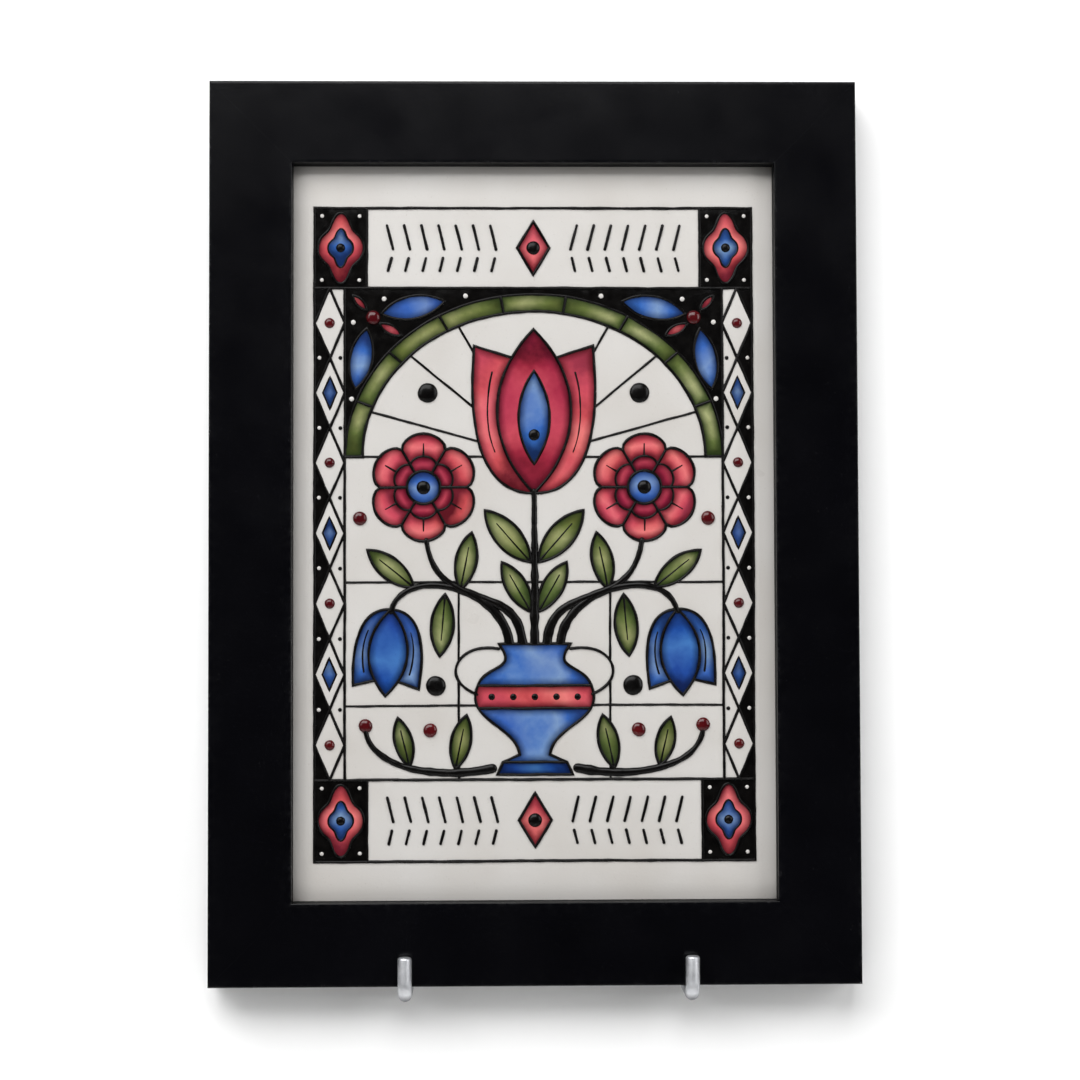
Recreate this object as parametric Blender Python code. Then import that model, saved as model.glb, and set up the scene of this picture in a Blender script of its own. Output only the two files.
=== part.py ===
"""A framed ceramic wall plaque, carried by two pegs.

The origin is the middle of the flat back, which lies on the wall. The face looks along -Y
and +Z is up. Lengths are in metres and angles in degrees, unless a name says otherwise.
"""

import math
from collections import namedtuple

import bmesh
import bpy
from mathutils import Matrix, Vector

# Ceramic slab: a square edge below, and a cushion that curves up from it to the flat face
TILE_W = 0.203
TILE_H = 0.304
TILE_CORNER_R = 0.013
TILE_EDGE_T = 0.0045
CUSHION_W = 0.012
CUSHION_RISE = 0.0045
CUSHION_STEPS = 4
CORNER_STEPS = 4
LEAST_CORNER_R = 0.0002

# Frame rails
RAIL_W = 0.0328
LIP_T = 0.008
LIP_OVERLAP = 0.0055
TILE_PLAY = 0.0006
RAIL_ARRIS = 0.0005
MITRE_GAP = 0.0003

# Backing board
BOARD_T = 0.003
BOARD_PLAY = 0.0008

# Wall pegs
PEG_D = 0.0055
PEG_SPACING = 0.1128
PEG_SHIFT = 0.005
PEG_RISE = 0.0122
PEG_BEND_R = 0.005
PEG_BEND_STEPS = 6
PEG_FRONT_GAP = 0.0016
PEG_END_R = 0.0010
PEG_END_STEPS = 3

# Between pieces that touch
REST_GAP = 0.0003

# Slip lines and beads on the face
LINE_R = 0.0006
LINE_RISE = 0.0007
LINE_END = 0.0006
LINE_UNEVEN = 0.00003
LINE_HEIGHTS = 7
STEM_RISE = 0.0010
BEAD_RISE = 0.0014
SINK = 0.0001
BEAD_SIDES = 8
BEAD_RINGS = 4

# Layout of the drawing, from the edges of the opening inwards
MARGIN_SIDE = 0.0085
MARGIN_TOP = 0.0168
MARGIN_BOTTOM = 0.0155
BAND_H = 0.0322
BLOCK_W = 0.0208
STRIP_W = 0.0120
ARCH_BAND = 0.0070
ARCH_SPRING_AT = 0.31
ARCH_RISE_SHARE = 0.665
ARCH_STEPS = 18
LOZENGES = 7

# Rows of strokes in the two bands
STROKE_PITCH = 0.0069
STROKE_LONG = 0.0098
STROKE_SHORT = 0.0052
STROKE_LEAN = 14
STROKE_ROW_GAP = 0.0034
STROKE_CLEAR = 0.0050

# Flowers, leaves and beads
PETALS = 6
ROSETTE_R = 0.0215
ROSETTE_EYE_R = 0.0066
ROSETTE_VALLEY = 0.80
CORNER_FLOWER_STEPS = 24
CORNER_REACH = 0.385
CORNER_LOBE = 0.06
CORNER_BEAD_R = 0.0019
TULIP_SPREAD = 0.36
BELL_SPREAD = 0.38
NOTCH_AT = 0.8
BLADE_STEPS = 5
VASE_STEPS = 4
PETAL_STEPS = 4
STEM_STEPS = 8
STEM_R = 0.0019
STEM_TIP_R = 0.0010
DOT_R = 0.0040
SMALL_DOT_R = 0.0028
STRIP_BEAD_R = 0.0021

Line = namedtuple("Line", "points closed start_r end_r rise")
Bead = namedtuple("Bead", "centre radius")


def cushion_height(inset):
    """Height of the cushion over the slab's square edge, this far in from the slab's outline."""
    reach = min(inset / CUSHION_W, 1.0)
    return CUSHION_RISE * math.sqrt(1 - (1 - reach) ** 2)


# Sizes that follow from the ones above. Depths are measured forward from the wall.
OPENING_W = TILE_W - 2 * LIP_OVERLAP
OPENING_H = TILE_H - 2 * LIP_OVERLAP
FRAME_W = OPENING_W + 2 * RAIL_W
FRAME_H = OPENING_H + 2 * RAIL_W
REBATE_W = LIP_OVERLAP + TILE_PLAY
TILE_BACK = BOARD_T + REST_GAP
TILE_T = TILE_EDGE_T + CUSHION_RISE
LIP_BACK = TILE_BACK + TILE_EDGE_T + cushion_height(LIP_OVERLAP) + REST_GAP
FRAME_D = LIP_BACK + LIP_T

DRAWN_W = OPENING_W - 2 * MARGIN_SIDE
DRAWN_H = OPENING_H - MARGIN_TOP - MARGIN_BOTTOM
DRAWN_MID = (MARGIN_BOTTOM - MARGIN_TOP) / 2
FIELD_HALF_W = DRAWN_W / 2 - STRIP_W
FIELD_HALF_H = DRAWN_H / 2 - BAND_H


# Points and curves of the drawing, in the plane of the slab: x to the right, y up


def at(across, up):
    """A point of the middle field: shares of its half width and half height from its centre."""
    return Vector((across * FIELD_HALF_W, DRAWN_MID + up * FIELD_HALF_H))


def polar(centre, radius, angle):
    return centre + Vector((math.cos(angle), math.sin(angle))) * radius


def cubic(p0, p1, p2, p3, steps):
    """Points along a cubic curve, both ends included."""
    points = []
    for k in range(steps + 1):
        t = k / steps
        s = 1 - t
        points.append(p0 * s**3 + p1 * (3 * t * s * s) + p2 * (3 * t * t * s) + p3 * t**3)
    return points


def stretched(points):
    """The same points with both ends drawn out, so that lines which meet also overlap."""
    first = points[0] + (points[0] - points[1]).normalized() * LINE_END
    last = points[-1] + (points[-1] - points[-2]).normalized() * LINE_END
    return [first, *points[1:-1], last]


def line(*points):
    return Line(stretched(points), False, LINE_R, LINE_R, LINE_RISE)


def loop(points):
    return Line(points, True, LINE_R, LINE_R, LINE_RISE)


def mirrored(shapes):
    """These lines and beads, and the same ones on the other side of the middle."""
    other = []
    for shape in shapes:
        if isinstance(shape, Bead):
            other.append(Bead(Vector((-shape.centre.x, shape.centre.y)), shape.radius))
        else:
            other.append(shape._replace(points=[Vector((-p.x, p.y)) for p in shape.points]))
    return shapes + other


def blade_edges(base, tip, belly, shoulder, steps):
    """The two edges of a leaf or petal. belly is how far its curves pull out, as a share of its length."""
    run = tip - base
    side = Vector((-run.y, run.x)) * belly
    edges = []
    for out in (side, -side):
        low = base + run * shoulder + out
        high = base + run * (1 - shoulder) + out
        edges.append(cubic(base, low, high, tip, steps))
    return edges


def blade(base, tip, belly=0.24, shoulder=0.28):
    """A leaf or petal, as one closed line."""
    left, right = blade_edges(base, tip, belly, shoulder, BLADE_STEPS)
    return loop(left + right[-2:0:-1])


def stem(p0, p1, p2, p3):
    return Line(cubic(p0, p1, p2, p3, STEM_STEPS), False, STEM_R, STEM_TIP_R, STEM_RISE)


def cup(base, tip, spread):
    """A flower of three petals: a middle one, and one that flares out on each side behind it."""
    run = tip - base
    shapes = [blade(base, tip, 0.30, 0.30)]
    for edge, turn in zip(blade_edges(base, tip, 0.30, 0.30, BLADE_STEPS), (1, -1)):
        side = Vector((-run.y, run.x)) * (turn * spread)
        flare = base + run * 0.90 + side
        outer = cubic(base, base + side * 0.95, base + run * 0.42 + side * 1.12, flare, BLADE_STEPS)
        shapes.append(line(*outer, edge[round(NOTCH_AT * BLADE_STEPS)]))
    return shapes


def rosette(centre):
    """A round flower with scalloped petals round an eye."""
    eye_sides = 2 * PETALS
    shapes = [loop([polar(centre, ROSETTE_EYE_R, math.tau * k / eye_sides) for k in range(eye_sides)])]
    outline = []
    for k in range(PETALS * PETAL_STEPS):
        swell = abs(math.sin(math.pi * k / PETAL_STEPS)) ** 0.6
        radius = ROSETTE_R * (ROSETTE_VALLEY + (1 - ROSETTE_VALLEY) * swell)
        angle = math.tau * k / (PETALS * PETAL_STEPS)
        outline.append(polar(centre, radius, angle))
        if k % PETAL_STEPS == 0:
            shapes.append(line(polar(centre, ROSETTE_EYE_R, angle), outline[-1]))
    return shapes + [loop(outline)]


def border_lines():
    """The outer line, the two bands with their corner blocks, and the inner lines of the side strips."""
    half_w = DRAWN_W / 2
    half_h = DRAWN_H / 2
    shapes = []
    corners = ((half_w, half_h), (-half_w, half_h), (-half_w, -half_h), (half_w, -half_h))
    shapes.append(loop([Vector((x, DRAWN_MID + y)) for x, y in corners]))
    for turn in (1, -1):
        y = DRAWN_MID + turn * FIELD_HALF_H
        shapes.append(line(Vector((-half_w, y)), Vector((half_w, y))))
    sides = [line(at(1, -1), at(1, 1))]
    for turn in (1, -1):
        ends = (DRAWN_MID + turn * FIELD_HALF_H, DRAWN_MID + turn * half_h)
        sides.append(line(*(Vector((half_w - BLOCK_W, y)) for y in ends)))
    return shapes + mirrored(sides)


def corner_flowers():
    """A flower of four lobes round an eye in each corner block."""
    shapes = []
    for turn in (1, -1):
        middle = DRAWN_MID + turn * (DRAWN_H / 2 - BAND_H / 2)
        centre = Vector((DRAWN_W / 2 - BLOCK_W / 2, middle))
        outline = []
        for k in range(CORNER_FLOWER_STEPS):
            angle = math.tau * k / CORNER_FLOWER_STEPS
            reach = CORNER_REACH + CORNER_LOBE * math.cos(4 * angle)
            outline.append(centre + Vector((BLOCK_W * math.cos(angle), BAND_H * math.sin(angle))) * reach)
        shapes.append(loop(outline))
        shapes.append(Bead(centre, CORNER_BEAD_R))
    return mirrored(shapes)


def lozenge_strips():
    """A chain of lozenges down each side strip, with a bead in every second one."""
    step = 2 * FIELD_HALF_H / LOZENGES
    edges = (FIELD_HALF_W, FIELD_HALF_W + STRIP_W)
    low = DRAWN_MID - FIELD_HALF_H
    shapes = []
    for turn in (0, 1):
        zigzag = []
        for k in range(LOZENGES + 1):
            zigzag.append(Vector((sum(edges) / 2, low + k * step)))
            if k < LOZENGES:
                zigzag.append(Vector((edges[(k + turn) % 2], low + (k + 0.5) * step)))
        shapes.append(line(*zigzag))
    for k in range(0, LOZENGES, 2):
        shapes.append(Bead(Vector((sum(edges) / 2, low + (k + 0.5) * step)), STRIP_BEAD_R))
    return mirrored(shapes)


FAN = (
    ((0.805, 0.895), (0.47, 0.945)),
    ((0.882, 0.835), (0.945, 0.585)),
    ((0.815, 0.855), (0.70, 0.805)),
    ((0.885, 0.91), (0.955, 0.97)),
)


def arch():
    """Two half ovals over the field, with short bars between them, and a fan of petals in each corner."""
    spring = at(0, ARCH_SPRING_AT)
    rise = ARCH_RISE_SHARE * FIELD_HALF_H
    rings = []
    for inset in (0, ARCH_BAND):
        points = []
        for k in range(ARCH_STEPS + 1):
            angle = math.pi * k / ARCH_STEPS
            across = (FIELD_HALF_W - inset) * math.cos(angle)
            points.append(spring + Vector((across, (rise - inset) * math.sin(angle))))
        rings.append(points)
    outer, inner = rings
    shapes = [line(*outer), line(outer[0], *inner, outer[-1])]
    for k in range(2, ARCH_STEPS - 1, 2):
        shapes.append(line(outer[k], inner[k]))
    return shapes + mirrored([blade(at(*base), at(*tip)) for base, tip in FAN])


def vase():
    """A footed vase with bands round its body and a handle on each side."""
    sides = []
    for turn in (1, -1):
        foot = [at(turn * 0.20, -0.98), at(turn * 0.17, -0.93), at(turn * 0.08, -0.90)]
        belly = [at(turn * x, y) for x, y in ((0.08, -0.90), (0.10, -0.78), (0.38, -0.76), (0.30, -0.62))]
        neck = [at(turn * x, y) for x, y in ((0.30, -0.62), (0.26, -0.53), (0.08, -0.56), (0.19, -0.45))]
        sides.append(foot + cubic(*belly, VASE_STEPS)[1:] + cubic(*neck, VASE_STEPS)[1:])
    right, left = sides
    shapes = [loop(right + left[::-1])]
    foot_top = 1
    widest = len(right) - 1 - VASE_STEPS
    for k in (foot_top, widest, widest - 1):
        shapes.append(line(left[k], right[k]))
    handle = cubic(at(0.19, -0.47), at(0.42, -0.44), at(0.50, -0.60), at(0.30, -0.66), BLADE_STEPS)
    return shapes + mirrored([line(*handle)])


def growth():
    """Stems, flowers, leaves and beads that rise from the vase, the same on both sides."""
    middle = [stem(at(0, -0.45), at(0, -0.3), at(0, 0), at(0, 0.17))]
    middle += cup(at(0, 0.16), at(0, 0.83), TULIP_SPREAD)
    middle.append(blade(at(0, 0.28), at(0, 0.66), 0.22, 0.3))

    side = [stem(at(0.065, -0.45), at(0.08, -0.18), at(0.52, -0.34), at(0.57, -0.03))]
    side += rosette(at(0.585, 0.185))
    side.append(stem(at(0.135, -0.45), at(0.15, -0.22), at(0.70, -0.12), at(0.755, -0.32)))
    side += cup(at(0.755, -0.31), at(0.785, -0.66), BELL_SPREAD)
    side.append(blade(at(0.02, -0.12), at(0.26, 0.09)))
    side.append(blade(at(0.02, -0.32), at(0.17, -0.12)))
    side.append(blade(at(0.39, -0.23), at(0.33, 0.00)))
    side.append(blade(at(0.63, -0.235), at(0.88, -0.07)))
    side.append(blade(at(0.47, -0.25), at(0.50, -0.50)))
    side.append(stem(at(0.21, -0.955), at(0.50, -1.00), at(0.86, -0.96), at(0.89, -0.80)))
    side.append(blade(at(0.42, -0.955), at(0.36, -0.74)))
    side.append(blade(at(0.66, -0.945), at(0.72, -0.75)))
    side += [Bead(at(0.56, 0.57), DOT_R), Bead(at(0.52, -0.62), DOT_R)]
    for across, up in ((0.585, 0.185), (0.89, -0.78), (0.85, 0.88), (0.92, 0.06), (0.55, -0.80)):
        side.append(Bead(at(across, up), SMALL_DOT_R))
    return middle + mirrored(side)


def strokes():
    """Two rows of plain leaning strokes in each band, on both sides of a lozenge."""
    lozenges = []
    side = []
    start = BAND_H / 2
    end = DRAWN_W / 2 - BLOCK_W - STROKE_CLEAR
    half = Vector((BAND_H / 5, BAND_H / 3))
    rows = (
        (STROKE_LONG, (STROKE_ROW_GAP + STROKE_SHORT) / 2, STROKE_LEAN),
        (STROKE_SHORT, -(STROKE_ROW_GAP + STROKE_LONG) / 2, -STROKE_LEAN),
    )
    for turn in (1, -1):
        middle = DRAWN_MID + turn * (DRAWN_H / 2 - BAND_H / 2)
        for length, up, lean in rows:
            angle = math.radians(lean)
            tilt = Vector((math.sin(angle), math.cos(angle))) * length / 2
            for k in range(int((end - start) / STROKE_PITCH) + 1):
                centre = Vector((start + k * STROKE_PITCH, middle + up))
                side.append(line(centre - tilt, centre + tilt))
        corners = ((half.x, 0), (0, half.y), (-half.x, 0), (0, -half.y))
        lozenges.append(loop([Vector((x, middle + y)) for x, y in corners]))
        lozenges.append(Bead(Vector((0, middle)), SMALL_DOT_R))
    return lozenges + mirrored(side)


# Solids


def material(name, colour, roughness, metallic=0.0):
    made = bpy.data.materials.new(name)
    made.use_nodes = True
    shader = made.node_tree.nodes["Principled BSDF"]
    shader.inputs["Base Color"].default_value = (*colour, 1.0)
    shader.inputs["Roughness"].default_value = roughness
    shader.inputs["Metallic"].default_value = metallic
    return made


def add_object(name, mesh, collection, finish=None):
    made = bpy.data.objects.new(name, mesh)
    collection.objects.link(made)
    if finish:
        mesh.materials.append(finish)
    return made


def mesh_of(bm, name):
    bmesh.ops.recalc_face_normals(bm, faces=bm.faces)
    mesh = bpy.data.meshes.new(name)
    bm.to_mesh(mesh)
    bm.free()
    return mesh


def solid_from_curve(curve_object, collection, finish=None):
    """The mesh of a curve object, with its caps welded on. The curve is removed."""
    graph = bpy.context.evaluated_depsgraph_get()
    name = curve_object.name
    mesh = bpy.data.meshes.new_from_object(curve_object.evaluated_get(graph))
    bm = bmesh.new()
    bm.from_mesh(mesh)
    bmesh.ops.remove_doubles(bm, verts=bm.verts, dist=1e-6)
    bm.to_mesh(mesh)
    bm.free()
    place = curve_object.matrix_world.copy()
    bpy.data.curves.remove(curve_object.data)
    made = add_object(name, mesh, collection, finish)
    made.matrix_world = place
    return made


def poly_curve(name, points, closed, radii):
    """A curve object through these points, not yet given a bevel."""
    curve = bpy.data.curves.new(name, "CURVE")
    curve.dimensions = "3D"
    spline = curve.splines.new("POLY")
    spline.points.add(len(points) - 1)
    for k, point in enumerate(points):
        spline.points[k].co = (*point, 1.0)
        spline.points[k].radius = radii[k]
    spline.use_cyclic_u = closed
    made = bpy.data.objects.new(name, curve)
    bpy.context.scene.collection.objects.link(made)
    return made


def slab_ring(bm, inset, height):
    """Corners of the slab's rounded outline, this far in from its edge and this high over its back."""
    half_w = TILE_W / 2 - inset
    half_h = TILE_H / 2 - inset
    radius = max(TILE_CORNER_R - inset, LEAST_CORNER_R)
    ring = []
    for quarter, (across, up) in enumerate(((1, 1), (-1, 1), (-1, -1), (1, -1))):
        centre = Vector((across * (half_w - radius), up * (half_h - radius)))
        for k in range(CORNER_STEPS + 1):
            point = polar(centre, radius, math.radians(90) * (quarter + k / CORNER_STEPS))
            ring.append(bm.verts.new((*point, height)))
    return ring


def plaque_slab(name):
    """The slab without its lines, its back at z = 0 and its face up."""
    bm = bmesh.new()
    rings = [slab_ring(bm, 0, 0), slab_ring(bm, 0, TILE_EDGE_T)]
    for k in range(1, CUSHION_STEPS + 1):
        inset = CUSHION_W * (1 - math.cos(math.radians(90) * k / CUSHION_STEPS))
        rings.append(slab_ring(bm, inset, TILE_EDGE_T + cushion_height(inset)))
    for low, high in zip(rings, rings[1:]):
        for k in range(len(low)):
            bm.faces.new((low[k - 1], low[k], high[k], high[k - 1]))
    bm.faces.new(rings[0])
    bm.faces.new(rings[-1])
    return mesh_of(bm, name)


def relief_solid(name, shape, lower, collection, place):
    """One raised line or bead, partly sunk in the slab's face, and this much lower than the highest."""
    if isinstance(shape, Bead):
        bm = bmesh.new()
        bmesh.ops.create_uvsphere(bm, u_segments=BEAD_SIDES, v_segments=BEAD_RINGS, radius=1.0)
        size = Matrix.Diagonal((shape.radius, shape.radius, BEAD_RISE - lower, 1.0))
        made = add_object(name, mesh_of(bm, name), collection)
        made.matrix_world = place @ Matrix.Translation((*shape.centre, 0.0)) @ size
    else:
        last = len(shape.points) - 1
        radii = [1 + (shape.end_r / shape.start_r - 1) * k / last for k in range(last + 1)]
        curve = poly_curve(name, [(*point, 0.0) for point in shape.points], shape.closed, radii)
        curve.data.twist_mode = "Z_UP"
        curve.data.bevel_depth = shape.start_r
        curve.data.bevel_resolution = 0
        curve.data.use_fill_caps = True
        rise = shape.rise - lower
        curve.matrix_world = place @ Matrix.Diagonal((1.0, 1.0, rise / shape.start_r, 1.0))
        made = solid_from_curve(curve, collection)
    made.hide_render = True
    made.display_type = "WIRE"


def ceramic_plaque(collection, relief, finish):
    plaque = add_object("ceramic_plaque", plaque_slab("ceramic_plaque"), collection, finish)
    plaque.location = (0, -TILE_BACK, 0)
    plaque.rotation_euler = (math.radians(90), 0, 0)
    bpy.context.view_layer.update()
    place = plaque.matrix_world @ Matrix.Translation((0, 0, TILE_T - SINK))
    shapes = border_lines() + corner_flowers() + lozenge_strips() + arch() + vase() + growth() + strokes()
    for k, shape in enumerate(shapes):
        lower = LINE_UNEVEN * (k % LINE_HEIGHTS)
        relief_solid(f"relief_{k:03d}", shape, lower, relief, place)
    join = plaque.modifiers.new("raised_lines", "BOOLEAN")
    join.operation = "UNION"
    join.solver = "EXACT"
    join.operand_type = "COLLECTION"
    join.collection = relief
    return plaque


def rail_section(inner, outer):
    """Outline of a rail: x outward from the middle of the frame, y in depth, the wall at y = 0."""
    front = -FRAME_D
    return (
        (outer, 0),
        (outer, front + RAIL_ARRIS),
        (outer - RAIL_ARRIS, front),
        (inner + RAIL_ARRIS, front),
        (inner, front + RAIL_ARRIS),
        (inner, -LIP_BACK),
        (inner + REBATE_W, -LIP_BACK),
        (inner + REBATE_W, 0),
    )


def frame_rail(name, outer, other_outer, turn, collection, finish):
    """A mitred rail whose outer face is outer from the middle. The rails that it meets are at other_outer."""
    curve = bpy.data.curves.new(name, "CURVE")
    curve.dimensions = "2D"
    curve.fill_mode = "BOTH"
    curve.extrude = other_outer
    points = rail_section(outer - RAIL_W, outer)
    spline = curve.splines.new("POLY")
    spline.points.add(len(points) - 1)
    for k, point in enumerate(points):
        spline.points[k].co = (*point, 0, 1)
    spline.use_cyclic_u = True
    source = bpy.data.objects.new(name + "_section", curve)
    bpy.context.scene.collection.objects.link(source)
    rail = solid_from_curve(source, collection, finish)
    rail.name = name
    for vertex in rail.data.vertices:
        end = other_outer - (outer - vertex.co.x) - MITRE_GAP / math.sqrt(2)
        vertex.co.z = math.copysign(end, vertex.co.z)
    rail.rotation_euler = (0, math.radians(turn), 0)
    return rail


def backing_board(collection, finish):
    bm = bmesh.new()
    bmesh.ops.create_cube(bm, size=1.0)
    play = 2 * (TILE_PLAY - BOARD_PLAY)
    bmesh.ops.scale(bm, vec=(TILE_W + play, BOARD_T, TILE_H + play), verts=bm.verts)
    board = add_object("backing_board", mesh_of(bm, "backing_board"), collection, finish)
    board.location = (0, -BOARD_T / 2, 0)
    return board


def wall_peg(name, x, collection, finish):
    """A round rod from the wall, under the frame, round a bend and up to a flat end with a rounded edge."""
    radius = PEG_D / 2
    run_z = -FRAME_H / 2 - REST_GAP - radius
    front_y = -(FRAME_D + PEG_FRONT_GAP + radius)
    bend = Vector((0, front_y + PEG_BEND_R, run_z + PEG_BEND_R))
    points = [Vector((0, 0, run_z))]
    for k in range(PEG_BEND_STEPS + 1):
        angle = math.radians(90) * k / PEG_BEND_STEPS
        points.append(bend - Vector((0, math.sin(angle), math.cos(angle))) * PEG_BEND_R)
    radii = [1.0] * len(points)
    end_base = -FRAME_H / 2 + PEG_RISE - PEG_END_R
    for k in range(PEG_END_STEPS + 1):
        angle = math.radians(90) * k / PEG_END_STEPS
        points.append(Vector((0, front_y, end_base + PEG_END_R * math.sin(angle))))
        radii.append(1 - PEG_END_R / radius * (1 - math.cos(angle)))
    curve = poly_curve(name + "_path", points, False, radii)
    curve.data.bevel_depth = radius
    curve.data.bevel_resolution = 4
    curve.data.use_fill_caps = True
    curve.location = (x, 0, 0)
    bpy.context.view_layer.update()
    peg = solid_from_curve(curve, collection, finish)
    peg.name = name
    peg.data.shade_smooth()
    peg.data.set_sharp_from_angle(angle=math.radians(40))
    return peg


def new_collection(name):
    made = bpy.data.collections.new(name)
    bpy.context.scene.collection.children.link(made)
    return made


def main():
    for old in list(bpy.data.objects):
        bpy.data.objects.remove(old, do_unlink=True)
    parts = new_collection("framed_ceramic_plaque")
    relief = new_collection("raised_lines")

    glaze = material("glazed_ceramic", (0.68, 0.66, 0.63), 0.15)
    lacquer = material("black_lacquered_wood", (0.010, 0.010, 0.013), 0.35)
    hardboard = material("brown_hardboard", (0.22, 0.14, 0.08), 0.8)
    steel = material("plated_steel", (0.62, 0.63, 0.65), 0.3, 1.0)

    frame_rail("frame_rail_right", FRAME_W / 2, FRAME_H / 2, 0, parts, lacquer)
    frame_rail("frame_rail_bottom", FRAME_H / 2, FRAME_W / 2, 90, parts, lacquer)
    frame_rail("frame_rail_left", FRAME_W / 2, FRAME_H / 2, 180, parts, lacquer)
    frame_rail("frame_rail_top", FRAME_H / 2, FRAME_W / 2, 270, parts, lacquer)
    backing_board(parts, hardboard)
    wall_peg("wall_peg_left", PEG_SHIFT - PEG_SPACING / 2, parts, steel)
    wall_peg("wall_peg_right", PEG_SHIFT + PEG_SPACING / 2, parts, steel)
    ceramic_plaque(parts, relief, glaze)


main()
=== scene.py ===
"""Looks of the framed ceramic plaque: glazes, slip lines, frame, pegs, wall, light and camera.

The drawing repeats the sizes of the solids' source, with finer steps. The face looks along -Y
and +Z is up. Lengths are in metres and angles in degrees, unless a name says otherwise.
"""

import math
from collections import namedtuple

import bmesh
import bpy
import numpy as np
from mathutils import Matrix, Vector, geometry, noise


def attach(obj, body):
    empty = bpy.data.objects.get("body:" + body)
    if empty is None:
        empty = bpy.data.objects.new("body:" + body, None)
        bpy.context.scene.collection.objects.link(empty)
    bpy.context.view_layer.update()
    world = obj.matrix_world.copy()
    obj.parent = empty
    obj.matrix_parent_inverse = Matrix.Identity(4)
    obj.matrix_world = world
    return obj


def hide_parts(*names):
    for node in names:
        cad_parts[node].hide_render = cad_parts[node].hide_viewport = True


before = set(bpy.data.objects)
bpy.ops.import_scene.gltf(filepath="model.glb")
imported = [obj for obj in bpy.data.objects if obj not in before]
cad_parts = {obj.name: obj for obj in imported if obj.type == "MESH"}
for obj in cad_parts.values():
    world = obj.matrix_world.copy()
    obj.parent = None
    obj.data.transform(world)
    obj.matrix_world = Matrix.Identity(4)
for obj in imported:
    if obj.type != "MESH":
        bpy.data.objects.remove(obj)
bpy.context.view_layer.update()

# Ceramic slab, as in the solids
TILE_W = 0.203
TILE_H = 0.304
TILE_CORNER_R = 0.013
TILE_EDGE_T = 0.0045
CUSHION_W = 0.012
CUSHION_RISE = 0.0045
CUSHION_STEPS = 12
CORNER_STEPS = 12
LEAST_CORNER_R = 0.0002
FOOT_R = 0.0006

# Frame, board and pegs, as in the solids
RAIL_W = 0.0328
LIP_T = 0.008
LIP_OVERLAP = 0.0055
TILE_PLAY = 0.0006
RAIL_ARRIS = 0.0005
ARRIS_STEPS = 4
RAIL_STATIONS = 48
RUB_REACH = 2.4 * RAIL_ARRIS
BACK_EASE = 0.0006
REBATE_EASE = 0.0004
SMEAR_REACH = 0.004
MITRE_GAP = 0.00002
BOARD_T = 0.003
BOARD_PLAY = 0.0008
BOARD_ARRIS = 0.0004
REST_GAP = 0.0003
PEG_D = 0.0055
PEG_SPACING = 0.1128
PEG_SHIFT = 0.005
PEG_RISE = 0.0122
PEG_BEND_R = 0.005
PEG_BEND_STEPS = 16
PEG_RUN_STEPS = 10
PEG_FRONT_GAP = 0.0016
PEG_END_R = 0.0010
PEG_END_STEPS = 6
PEG_SIDES = 40
# Height above the peg's foot over which the rod is painted dark: painted shade under the bend
PEG_SHADE_REACH = 0.0034

# Layout of the drawing, as in the solids
MARGIN_SIDE = 0.0085
MARGIN_TOP = 0.0168
MARGIN_BOTTOM = 0.0155
BAND_H = 0.0322
BLOCK_W = 0.0208
STRIP_W = 0.0120
ARCH_BAND = 0.0070
ARCH_SPRING_AT = 0.31
ARCH_RISE_SHARE = 0.665
ARCH_BARS = 18
LOZENGES = 7
STROKE_PITCH = 0.0069
STROKE_LONG = 0.0098
STROKE_SHORT = 0.0052
STROKE_LEAN = 14
STROKE_ROW_GAP = 0.0034
STROKE_CLEAR = 0.0050
PETALS = 6
ROSETTE_R = 0.0215
ROSETTE_EYE_R = 0.0066
ROSETTE_INNER_R = 0.0102
ROSETTE_VALLEY = 0.80
CORNER_REACH = 0.385
CORNER_LOBE = 0.06
CORNER_BEAD_R = 0.0019
TULIP_SPREAD = 0.36
BELL_SPREAD = 0.38
NOTCH_AT = 0.8
STEM_R = 0.0019
STEM_TIP_R = 0.0010
DOT_R = 0.0040
SMALL_DOT_R = 0.0028
STRIP_BEAD_R = 0.0021
VASE_BEAD_R = 0.0014
HEART_BEAD_R = 0.0024
EYE_SHARE = 0.54
INNER_LOZENGE_SHARE = 0.46

# How far the curves of a leaf or petal pull out, and how far along it, as shares of its length
LEAF_CURVE = (0.24, 0.28)
PETAL_CURVE = (0.30, 0.30)
HEART_CURVE = (0.22, 0.30)

# Places in the middle field: shares of its half width and half height from its centre
TULIP = ((0, 0.16), (0, 0.83))
HEART = ((0, 0.28), (0, 0.66))
BELL = ((0.755, -0.31), (0.785, -0.66))
ROSETTE_AT = (0.585, 0.185)
BLACK_DOTS = ((0.56, 0.57), (0.52, -0.62))
RED_DOTS = ((0.89, -0.78), (0.85, 0.88), (0.92, 0.06), (0.55, -0.80))
WHITE_DROPS = ((0.36, 0.967), (0.965, 0.545), (0.955, 0.86), (0.79, 0.955))
HANDLE = ((0.19, -0.47), (0.42, -0.44), (0.50, -0.60), (0.305, -0.655))
LEAVES = (
    ((0.02, -0.12), (0.26, 0.09)),
    ((0.02, -0.32), (0.17, -0.12)),
    ((0.39, -0.23), (0.33, 0.00)),
    ((0.635, -0.220), (0.88, -0.07)),
    ((0.47, -0.25), (0.50, -0.50)),
    ((0.42, -0.955), (0.36, -0.74)),
    ((0.66, -0.945), (0.72, -0.75)),
)
FAN = (
    ((0.805, 0.895), (0.47, 0.945), "blue"),
    ((0.882, 0.835), (0.945, 0.585), "blue"),
    ((0.815, 0.855), (0.70, 0.805), "coral"),
    ((0.885, 0.91), (0.955, 0.97), "coral"),
)

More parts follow.
